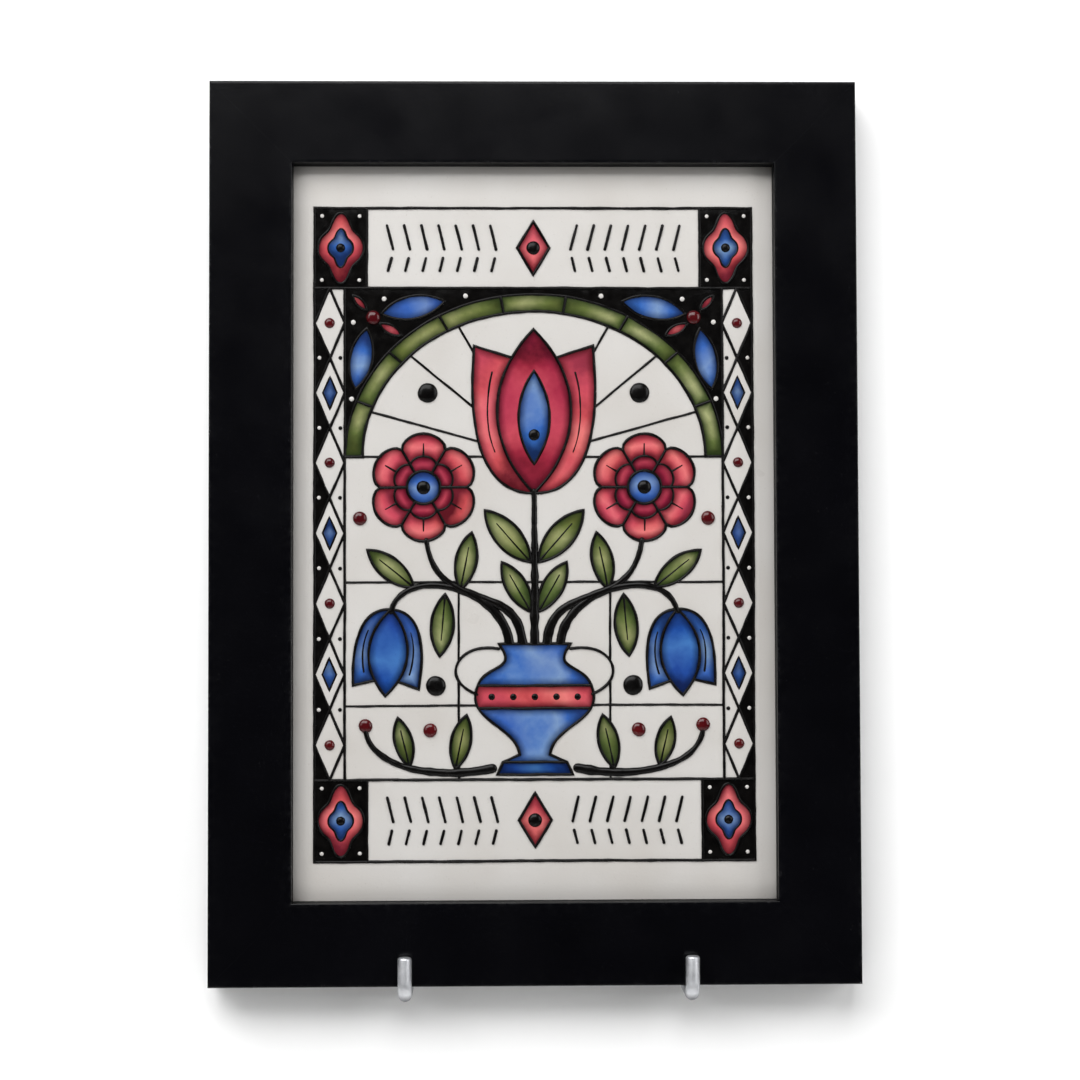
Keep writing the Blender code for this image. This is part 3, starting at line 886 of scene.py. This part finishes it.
def boundary(triangles):
    """The outer ring of a sheet of triangles, in order."""
    onward = {}
    edges = set()
    for triangle in triangles:
        for k in range(len(triangle)):
            edges.add((triangle[k], triangle[(k + 1) % len(triangle)]))
    for a, b in edges:
        if (b, a) not in edges:
            onward[a] = b
    start = min(onward)
    ring = [start]
    while onward[ring[-1]] != start:
        ring.append(onward[ring[-1]])
    return ring


def edge_gap(points, edge):
    """Distance from each point to the nearest side of a closed outline."""
    a = edge[None, :, :]
    b = np.roll(edge, -1, axis=0)[None, :, :]
    p = points[:, None, :]
    run = b - a
    share = ((p - a) * run).sum(-1) / np.maximum((run * run).sum(-1), 1e-18)
    near = a + run * np.clip(share, 0, 1)[..., None]
    return np.sqrt(((p - near) ** 2).sum(-1)).min(axis=1)


# Materials


class Nodes:
    """Short ways to add shader nodes to a new material."""

    def __init__(self, name):
        self.material = bpy.data.materials.new(name)
        self.material.use_nodes = True
        self.tree = self.material.node_tree
        self.shader = self.tree.nodes["Principled BSDF"]

    def add(self, kind, **settings):
        node = self.tree.nodes.new(kind)
        for name, value in settings.items():
            setattr(node, name, value)
        return node

    def join(self, source, target):
        self.tree.links.new(source, target)

    def noise(self, scale, detail, roughness=0.5, stretch=None):
        node = self.add("ShaderNodeTexNoise")
        node.inputs["Scale"].default_value = scale
        node.inputs["Detail"].default_value = detail
        node.inputs["Roughness"].default_value = roughness
        self.join(self.place(stretch), node.inputs["Vector"])
        return node.outputs["Fac"]

    def place(self, stretch=None):
        coordinates = self.add("ShaderNodeTexCoord")
        if not stretch:
            return coordinates.outputs["Object"]
        mapping = self.add("ShaderNodeMapping")
        mapping.inputs["Scale"].default_value = stretch
        self.join(coordinates.outputs["Object"], mapping.inputs["Vector"])
        return mapping.outputs["Vector"]

    def attribute(self, name):
        return self.add("ShaderNodeAttribute", attribute_name=name).outputs["Fac"]

    def math(self, operation, first, second, clamp=False):
        node = self.add("ShaderNodeMath", operation=operation, use_clamp=clamp)
        for k, value in enumerate((first, second)):
            if isinstance(value, (int, float)):
                node.inputs[k].default_value = value
            else:
                self.join(value, node.inputs[k])
        return node.outputs["Value"]

    def spread(self, value, low, high, to_low, to_high):
        node = self.add("ShaderNodeMapRange")
        for name, number in (("From Min", low), ("From Max", high), ("To Min", to_low), ("To Max", to_high)):
            node.inputs[name].default_value = number
        self.join(value, node.inputs["Value"])
        return node.outputs["Result"]

    def cloud(self, scale, detail, low, high, to_low, to_high):
        """Noise, its range from low to high spread over another one."""
        return self.spread(self.noise(scale, detail), low, high, to_low, to_high)

    def ramp(self, value, *stops):
        node = self.add("ShaderNodeValToRGB")
        elements = node.color_ramp.elements
        while len(elements) < len(stops):
            elements.new(0.5)
        for element, (position, colour) in zip(elements, stops):
            element.position = position
            element.color = (*colour, 1.0)
        self.join(value, node.inputs["Fac"])
        return node.outputs["Color"]

    def mix(self, share, first, second):
        node = self.add("ShaderNodeMix", data_type="RGBA")
        for socket, value in ((node.inputs[0], share), (node.inputs[6], first), (node.inputs[7], second)):
            if isinstance(value, (int, float)):
                socket.default_value = value
            elif isinstance(value, tuple):
                socket.default_value = (*value, 1.0)
            else:
                self.join(value, socket)
        return node.outputs[2]

    def bump(self, *layers):
        """Bump layers of (height, distance in metres), the first one lowest."""
        normal = None
        for height, distance in layers:
            node = self.add("ShaderNodeBump")
            node.inputs["Strength"].default_value = 1.0
            node.inputs["Distance"].default_value = distance
            self.join(height, node.inputs["Height"])
            if normal:
                self.join(normal, node.inputs["Normal"])
            normal = node.outputs["Normal"]
        self.join(normal, self.shader.inputs["Normal"])

    def colour(self, value):
        self.join(value, self.shader.inputs["Base Color"])

    def roughness(self, value):
        self.join(value, self.shader.inputs["Roughness"])


def glaze(name, pale, full, deep, tint):
    """A coloured glaze, washed from deep to pale and back along each area, and deep at the lines."""
    made = Nodes(name)
    made.shader.inputs["Specular IOR Level"].default_value = 0.34
    wash = made.cloud(48, 1, 0.25, 0.75, -0.22, 0.22)
    grain = made.cloud(380, 3, 0.3, 0.7, -0.035, 0.035)
    along = made.spread(made.attribute("along"), 0, 1, 0.06, 0.90)
    shade = made.math("MULTIPLY", made.attribute("shade"), 0.3)
    tone = made.math("ADD", made.math("ADD", along, made.math("ADD", wash, grain)), shade, True)
    colour = made.ramp(tone, (0.0, deep), (0.26, full), (0.56, pale), (0.80, full), (1.0, deep))
    turn = made.cloud(40, 1, 0.35, 0.68, 0.0, 0.55)
    colour = made.mix(turn, colour, tint)
    rim = made.spread(made.attribute("rim"), 0.20, 0.95, 0.92, 0.0)
    patchy = made.cloud(120, 2, 0.3, 0.7, 0.72, 1.12)
    colour = made.mix(made.math("MULTIPLY", rim, patchy, True), colour, deep)
    specks = made.cloud(2600, 1, 0.68, 0.78, 0.0, 0.22)
    made.colour(made.mix(specks, colour, deep))
    made.roughness(made.cloud(90, 3, 0.3, 0.7, 0.08, 0.18))
    made.bump((made.noise(110, 2), 0.00022), (made.noise(1400, 2), 0.00002))
    return made.material


def ground_glaze(name):
    """Off-white glaze, a little warmer where it lies thin, with a few specks."""
    made = Nodes(name)
    thin, middling, thick = (0.478, 0.455, 0.428), (0.512, 0.494, 0.472), (0.534, 0.519, 0.501)
    colour = made.ramp(made.noise(30, 2), (0.22, thin), (0.50, middling), (0.80, thick))
    specks = made.cloud(1500, 1, 0.70, 0.80, 0.0, 0.22)
    made.colour(made.mix(specks, colour, (0.24, 0.20, 0.16)))
    made.roughness(made.cloud(60, 2, 0.2, 0.8, 0.27, 0.34))
    made.bump((made.noise(40, 1), 0.0003), (made.noise(1100, 2), 0.00003))
    return made.material


def black_glaze(name, base, deep, rough, gloss):
    """Shiny black slip or glaze with faint clouds."""
    made = Nodes(name)
    made.shader.inputs["Specular IOR Level"].default_value = gloss
    made.colour(made.ramp(made.noise(300, 4), (0.35, deep), (0.75, base)))
    made.roughness(made.cloud(260, 3, 0.3, 0.7, rough, rough + 0.14))
    made.bump((made.noise(160, 2), 0.00012), (made.noise(1500, 2), 0.00002))
    return made.material


def biscuit(name):
    """Bare fired clay."""
    made = Nodes(name)
    made.colour(made.ramp(made.noise(160, 5), (0.3, (0.50, 0.40, 0.31)), (0.7, (0.64, 0.54, 0.44))))
    made.roughness(made.cloud(400, 3, 0.3, 0.7, 0.78, 0.92))
    made.bump((made.noise(1300, 4), 0.00010), (made.noise(90, 2), 0.0003))
    return made.material


def lacquer(name, gloss, low, high):
    """Satin black lacquer with the least orange peel, a few grains of dust and rubbed edges."""
    made = Nodes(name)
    tone = made.ramp(made.noise(22, 4), (0.3, (0.0007, 0.0007, 0.0013)), (0.7, (0.0013, 0.0013, 0.0021)))
    rub = made.math("MULTIPLY", made.attribute("wear"), made.cloud(420, 4, 0.45, 0.75, 0.0, 0.7))
    tone = made.mix(rub, tone, (0.010, 0.010, 0.011))
    dust = made.cloud(1700, 1, 0.74, 0.80, 0.0, 0.35)
    made.colour(made.mix(dust, tone, (0.03, 0.03, 0.03)))
    made.shader.inputs["Specular IOR Level"].default_value = gloss
    made.roughness(made.cloud(45, 4, 0.3, 0.7, low, high))
    made.bump((made.noise(700, 2), 0.000015), (made.noise(60, 2), 0.00006))
    return made.material


def bare_wood(name, stretch):
    """Sawn pine at the back of the rails, with a thin smear of the black round its edges."""
    made = Nodes(name)
    grain = made.noise(240, 5, 0.65, stretch)
    colour = made.ramp(grain, (0.32, (0.30, 0.19, 0.10)), (0.60, (0.46, 0.32, 0.19)))
    dabs = made.cloud(150, 3, 0.35, 0.65, 0.4, 1.0)
    smear = made.math("MULTIPLY", made.attribute("wear"), dabs)
    made.colour(made.mix(smear, colour, (0.012, 0.012, 0.014)))
    made.roughness(made.spread(grain, 0.3, 0.7, 0.62, 0.80))
    made.bump((grain, 0.0003), (made.noise(1200, 3), 0.00006))
    return made.material


def hardboard(name):
    """Pressed board: brown fibre, with the mesh print of the press."""
    made = Nodes(name)
    fibre = made.noise(900, 5, 0.7)
    colour = made.ramp(fibre, (0.3, (0.135, 0.080, 0.043)), (0.7, (0.26, 0.165, 0.095)))
    cloud = made.cloud(20, 3, 0.3, 0.7, 0.0, 0.35)
    made.colour(made.mix(cloud, colour, (0.16, 0.10, 0.06)))
    made.roughness(made.spread(fibre, 0.3, 0.7, 0.72, 0.9))
    waves = []
    for direction in ("X", "Z"):
        wave = made.add("ShaderNodeTexWave", wave_type="BANDS", bands_direction=direction)
        wave.inputs["Scale"].default_value = 220
        wave.inputs["Distortion"].default_value = 0.6
        made.join(made.place(), wave.inputs["Vector"])
        waves.append(wave.outputs["Fac"])
    made.bump((made.math("MULTIPLY", *waves), 0.00025), (fibre, 0.00012))
    return made.material


def plated_steel(name):
    """Bright zinc on drawn rod: fine lines round it, a few duller clouds, and painted shade under the bend.
    """
    made = Nodes(name)
    made.shader.inputs["Metallic"].default_value = 1.0
    cloud = made.noise(240, 4)
    bright = made.ramp(cloud, (0.3, (0.56, 0.57, 0.60)), (0.7, (0.72, 0.73, 0.75)))
    parts = made.add("ShaderNodeSeparateXYZ")
    made.join(made.place(), parts.inputs["Vector"])
    # Painted shade: the rod turns dark towards its lowest point, under the bend
    painted_underside_shade = made.spread(parts.outputs["Z"], PEG_FOOT, PEG_FOOT + PEG_SHADE_REACH, 1.0, 0.0)
    made.colour(made.mix(painted_underside_shade, bright, (0.03, 0.03, 0.035)))
    made.roughness(made.cloud(500, 4, 0.3, 0.7, 0.44, 0.58))
    made.bump((made.noise(700, 3, 0.6, (0.4, 0.4, 3.0)), 0.00004), (made.noise(2600, 2), 0.00003))
    return made.material


# Pieces


def slab_ring(inset, height):
    """Places on the slab's rounded outline, this far in from its edge and this high over its back."""
    half_w = TILE_W / 2 - inset
    half_h = TILE_H / 2 - inset
    radius = max(TILE_CORNER_R - inset, LEAST_CORNER_R)
    ring = []
    for quarter, (across, up) in enumerate(((1, 1), (-1, 1), (-1, -1), (1, -1))):
        centre = Vector((across * (half_w - radius), up * (half_h - radius)))
        for k in range(CORNER_STEPS + 1):
            point = polar(centre, radius, math.radians(90) * (quarter + k / CORNER_STEPS))
            ring.append((point.x, -(TILE_BACK + height), point.y))
    return ring


def plaque_body(glazed, bare):
    """The slab: a bare foot and back, a glazed cushion edge and a nearly flat glazed face."""
    body = Builder()
    back = [slab_ring(FOOT_R, 0), slab_ring(FOOT_R * 0.3, FOOT_R * 0.3), slab_ring(0, FOOT_R)]
    firsts = body.rings([*back, slab_ring(0, TILE_EDGE_T * 0.6)], capped=False, slot=1)
    count = len(back[0])
    body.cap(firsts[0], count, 1, -1)
    rings = [slab_ring(0, TILE_EDGE_T)]
    for k in range(1, CUSHION_STEPS + 1):
        inset = CUSHION_W * (1 - math.cos(math.radians(90) * k / CUSHION_STEPS))
        rings.append(slab_ring(inset, TILE_EDGE_T + cushion_height(inset)))
    low = firsts[-1]
    for ring in rings:
        high = body.add(ring)
        body.bridge(low, high, [0] * count)
        low = high
    edge = [Vector((x, z)) for x, _, z in rings[-1]]
    grid = []
    half_w = TILE_W / 2 - CUSHION_W
    half_h = TILE_H / 2 - CUSHION_W
    for i in range(1, int(2 * half_w / FACE_STEP)):
        for j in range(1, int(2 * half_h / FACE_STEP)):
            grid.append(Vector((-half_w + i * FACE_STEP, -half_h + j * FACE_STEP)))
    sides = [(k, (k + 1) % count) for k in range(count)]
    cut = geometry.delaunay_2d_cdt(edge + grid, sides, [list(range(count))], 1, 1e-9)
    order = {}
    for k, point in enumerate(cut[0]):
        sources = [s for s in cut[3][k] if s < count]
        if sources:
            order[k] = low + sources[0]
        else:
            lump = FACE_UNEVEN * ripple(point, SLAB_WAVE, 3.0)
            order[k] = body.add([on_face(point, lump)])
    for triangle in cut[2]:
        body.face(tuple(order[k] for k in triangle))
    return body.finish("plaque_body", [glazed, bare], "glazed_ceramic", "ceramic_plaque", sharp=50)


def relief(finishes):
    """All raised lines, glaze areas and beads of the drawing, one piece for each colour."""
    shapes = borders() + lozenge_strips() + arch() + vase() + growth() + bands()
    lines = Builder()
    fine_lines = Builder()
    pools = {}
    drops = {}
    for seed, shape in enumerate(shapes + fanlight()):
        if isinstance(shape, Bead):
            add_bead(drops.setdefault(shape.colour, Builder()), shape, seed)
        elif isinstance(shape, Patch):
            add_patch(pools.setdefault(shape.colour, Builder()), shape, seed)
        else:
            target = fine_lines if shape.start_r == FINE_R else lines
            add_stroke(target, shape, seed)
    pieces = [("slip_lines", lines, "slip", 60), ("fine_slip_lines", fine_lines, "slip", 60)]
    pieces += [("glaze_" + colour, pools[colour], colour, 50) for colour in sorted(pools)]
    drop_finishes = {"black": "slip", "red": "red_bead", "white": "ground"}
    pieces += [("drops_" + colour, drops[colour], drop_finishes[colour], 60) for colour in sorted(drops)]
    for name, builder, finish, sharp in pieces:
        builder.finish(name, [finishes[finish]], "glazed_ceramic", "ceramic_plaque", sharp=sharp)


def rail_outline(inner, outer):
    """Outline of a rail: x outward from the frame's middle, y in depth, and how rubbed each place is."""
    front = -FRAME_D
    places = [(outer, -BACK_EASE, 0.6), (outer, -FRAME_D / 2, 0.0), (outer, front + RUB_REACH, 0.25)]

    def arris(x, reach):
        for k in range(ARRIS_STEPS + 1):
            angle = math.radians(90) * k / ARRIS_STEPS
            if reach < 0:
                angle = math.radians(90) - angle
            y = front + RAIL_ARRIS - RAIL_ARRIS * math.sin(angle)
            places.append((x - reach + reach * math.cos(angle), y, 1.0))

    arris(outer, RAIL_ARRIS)
    for share in (0.04, 0.2, 0.8, 0.96):
        places.append((outer + (inner - outer) * share, front, 0.25 if share in (0.04, 0.96) else 0.0))
    arris(inner, -RAIL_ARRIS)
    rebate = inner + REBATE_W
    return places + [
        (inner, front + RUB_REACH, 0.25),
        (inner, -LIP_BACK, 0.3),
        (rebate, -LIP_BACK, 0.0),
        (rebate, -REBATE_EASE, 0.5),
        (rebate + REBATE_EASE, 0.0, 0.8),
        (rebate + SMEAR_REACH, 0.0, 0.0),
        (outer - SMEAR_REACH, 0.0, 0.0),
        (outer - BACK_EASE, 0.0, 0.9),
    ]


def frame_rail(name, outer, other_outer, turn, finishes):
    """A mitred rail, with rounded arrises and a bare back."""
    places = rail_outline(outer - RAIL_W, outer)
    count = len(places)
    swing = Matrix.Rotation(math.radians(turn), 3, "Y")
    rail = Builder()
    firsts = []
    for station in range(RAIL_STATIONS + 1):
        share = 2 * station / RAIL_STATIONS - 1
        ring = []
        for x, y, _ in places:
            end = other_outer - (outer - x) - MITRE_GAP / math.sqrt(2)
            ring.append(tuple(swing @ Vector((x, y, share * end))))
        firsts.append(rail.add(ring, wear=[w for _, _, w in places]))
    bare_from = next(k for k, (x, y, _) in enumerate(places) if y == -LIP_BACK and x > outer - RAIL_W)
    slots = [0] * (bare_from - 2) + [2, 2] + [1] * (count - 1 - bare_from) + [0]
    for low, high in zip(firsts, firsts[1:]):
        rail.bridge(low, high, slots)
    rail.cap(firsts[0], count, 2, -1)
    rail.cap(firsts[-1], count, 2)
    return rail.finish(name + "_fine", finishes, "black_lacquered_wood", name, sharp=40)


def backing_board(finish):
    """The pressed board, its arrises eased and its edges not quite straight."""
    play = TILE_PLAY - BOARD_PLAY
    half_w = TILE_W / 2 + play
    half_h = TILE_H / 2 + play
    board = Builder()
    rings = []
    eased = ((BOARD_ARRIS, BOARD_T), (0, BOARD_T - BOARD_ARRIS), (0, BOARD_ARRIS), (BOARD_ARRIS, 0))
    for inset, depth in eased:
        ring = []
        corners = rectangle(-half_w + inset, half_w - inset, -half_h + inset, half_h - inset)
        for k, corner in enumerate(corners):
            after = corners[(k + 1) % 4]
            for j in range(BOARD_STEPS):
                point = corner.lerp(after, j / BOARD_STEPS)
                ragged = abs(BOARD_UNEVEN * ripple(point, BOARD_WAVE, 8.0))
                ring.append((point.x * (1 - ragged / half_w), -depth, point.y * (1 - ragged / half_h)))
        rings.append(ring)
    board.rings(rings)
    return board.finish("backing_board_fine", [finish], "brown_hardboard", "backing_board", sharp=30)


def wall_peg(name, x, finish):
    """A round rod from the wall, under the frame, round a bend and up to a flat end with a rounded edge."""
    radius = PEG_D / 2
    run_z = -FRAME_H / 2 - REST_GAP - radius
    front_y = -(FRAME_D + PEG_FRONT_GAP + radius)
    bend = Vector((x, front_y + PEG_BEND_R, run_z + PEG_BEND_R))
    stations = []
    for k in range(PEG_RUN_STEPS):
        y = (front_y + PEG_BEND_R) * k / PEG_RUN_STEPS
        stations.append((Vector((x, y, run_z)), 0.0, radius))
    for k in range(PEG_BEND_STEPS + 1):
        angle = math.radians(90) * k / PEG_BEND_STEPS
        stations.append((bend - Vector((0, math.sin(angle), math.cos(angle))) * PEG_BEND_R, angle, radius))
    end_base = -FRAME_H / 2 + PEG_RISE - PEG_END_R
    upright = math.radians(90)
    for k in range(PEG_END_STEPS + 1):
        angle = math.radians(90) * k / PEG_END_STEPS
        reach = radius - PEG_END_R * (1 - math.cos(angle))
        stations.append((Vector((x, front_y, end_base + PEG_END_R * math.sin(angle))), upright, reach))
    peg = Builder()
    rings = []
    for centre, tilt, reach in stations:
        outward = Vector((0, -math.sin(tilt), -math.cos(tilt)))
        ring = []
        for k in range(PEG_SIDES):
            angle = math.tau * k / PEG_SIDES
            spoke = Vector((1, 0, 0)) * math.cos(angle) + outward * math.sin(angle)
            ring.append(tuple(centre + spoke * reach))
        rings.append(ring)
    peg.rings(rings)
    return peg.finish(name + "_fine", [finish], "plated_steel", name, sharp=50)


# Wall, floor, light and camera


def plain_finish(name, tone, see_through_back=False):
    """Matt paint, clear from behind where asked, so that the wall doesn't hide the back."""
    made = Nodes(name)
    made.colour(made.ramp(made.noise(6, 4), (0.3, tuple(c * 0.985 for c in tone)), (0.7, tone)))
    made.roughness(made.cloud(40, 3, 0.3, 0.7, 0.80, 0.92))
    if see_through_back:
        side = made.add("ShaderNodeNewGeometry")
        clear = made.add("ShaderNodeBsdfTransparent")
        either = made.add("ShaderNodeMixShader")
        made.join(side.outputs["Backfacing"], either.inputs["Fac"])
        made.join(made.shader.outputs["BSDF"], either.inputs[1])
        made.join(clear.outputs["BSDF"], either.inputs[2])
        made.join(either.outputs["Shader"], made.tree.nodes["Material Output"].inputs["Surface"])
    return made.material


def stage_mesh(name, places, faces, finish):
    mesh = bpy.data.meshes.new(name)
    mesh.from_pydata(places, [], faces)
    mesh.materials.append(finish)
    made = bpy.data.objects.new(name, mesh)
    bpy.context.scene.collection.objects.link(made)
    return made


def stage():
    """A white wall with an opening behind the frame, so that light reaches the back, and a pale floor."""
    hole_x = FRAME_W / 2 - HOLE_INSET
    hole_z = FRAME_H / 2 - HOLE_INSET
    xs = (-STAGE_HALF_W, -hole_x, hole_x, STAGE_HALF_W)
    zs = (FLOOR_Z, -hole_z, hole_z, WALL_TOP)
    places = [(x, WALL_Y, z) for z in zs for x in xs]
    faces = []
    for row in range(3):
        for column in range(3):
            if (row, column) != (1, 1):
                first = row * 4 + column
                faces.append((first, first + 1, first + 5, first + 4))
    wall = stage_mesh("wall", places, faces, plain_finish("wall_paint", (0.94, 0.94, 0.94), True))
    wall.visible_shadow = False
    ends = ((-1, WALL_Y), (-1, FLOOR_NEAR), (1, FLOOR_NEAR), (1, WALL_Y))
    corners = [(side * STAGE_HALF_W, y, FLOOR_Z) for side, y in ends]
    stage_mesh("floor", corners, [(0, 1, 2, 3)], plain_finish("floor_paint", (0.86, 0.86, 0.85)))


def area_light(name, place, width, height, power):
    data = bpy.data.lights.new(name, "AREA")
    data.shape = "RECTANGLE"
    data.size = width
    data.size_y = height
    data.energy = power
    lamp = bpy.data.objects.new(name, data)
    lamp.location = place
    lamp.rotation_euler = (-Vector(place)).to_track_quat("-Z", "Y").to_euler()
    bpy.context.scene.collection.objects.link(lamp)


def lights():
    """Soft lamps, and a world that is pale to the camera and dim to the object."""
    for lamp in LAMPS:
        area_light(*lamp)
    world = bpy.data.worlds.new("studio")
    bpy.context.scene.world = world
    world.use_nodes = True
    tree = world.node_tree
    background = tree.nodes["Background"]
    path = tree.nodes.new("ShaderNodeLightPath")
    level = tree.nodes.new("ShaderNodeMapRange")
    level.inputs["To Min"].default_value = AMBIENT
    level.inputs["To Max"].default_value = BACKDROP
    tree.links.new(path.outputs["Is Camera Ray"], level.inputs["Value"])
    tree.links.new(level.outputs["Result"], background.inputs["Strength"])
    background.inputs["Color"].default_value = (*SKY, 1.0)
    bpy.context.scene.view_settings.view_transform = "Standard"


def camera():
    data = bpy.data.cameras.new("camera")
    data.lens = CAMERA_LENS_MM
    data.sensor_width = SENSOR_W_MM
    made = bpy.data.objects.new("camera", data)
    pan = Matrix.Rotation(math.radians(-CAMERA_PAN), 4, "Z")
    tilt = Matrix.Rotation(math.radians(90 + CAMERA_TILT), 4, "X")
    roll = Matrix.Rotation(math.radians(CAMERA_ROLL), 4, "Z")
    made.matrix_world = Matrix.Translation(CAMERA_PLACE) @ pan @ tilt @ roll
    bpy.context.scene.collection.objects.link(made)
    bpy.context.scene.camera = made


def main():
    noise.seed_set(NOISE_SEED)
    ground = ground_glaze("ground_glaze")
    finishes = {
        "ground": ground,
        "slip": black_glaze("black_slip", (0.0040, 0.0034, 0.0032), (0.0016, 0.0014, 0.0014), 0.16, 0.14),
        "black": black_glaze("black_glaze", (0.0036, 0.0032, 0.0030), (0.0012, 0.0010, 0.0010), 0.10, 0.18),
    }
    for name, colours in GLAZES.items():
        finishes[name] = glaze(name + "_glaze", *colours)
    plaque_body(ground, biscuit("biscuit"))
    relief(finishes)

    black = lacquer("black_lacquer", 0.16, 0.18, 0.25)
    dull = lacquer("thin_black_lacquer", 0.08, 0.50, 0.62)
    upright = [black, bare_wood("bare_upright", (1.0, 1.0, 0.06)), dull]
    cross = [black, bare_wood("bare_cross_rail", (0.06, 1.0, 1.0)), dull]
    frame_rail("frame_rail_right", FRAME_W / 2, FRAME_H / 2, 0, upright)
    frame_rail("frame_rail_bottom", FRAME_H / 2, FRAME_W / 2, 90, cross)
    frame_rail("frame_rail_left", FRAME_W / 2, FRAME_H / 2, 180, upright)
    frame_rail("frame_rail_top", FRAME_H / 2, FRAME_W / 2, 270, cross)
    backing_board(hardboard("pressed_board"))
    steel = plated_steel("zinc_plate")
    wall_peg("wall_peg_left", PEG_SHIFT - PEG_SPACING / 2, steel)
    wall_peg("wall_peg_right", PEG_SHIFT + PEG_SPACING / 2, steel)
    stage()
    lights()
    camera()


main()
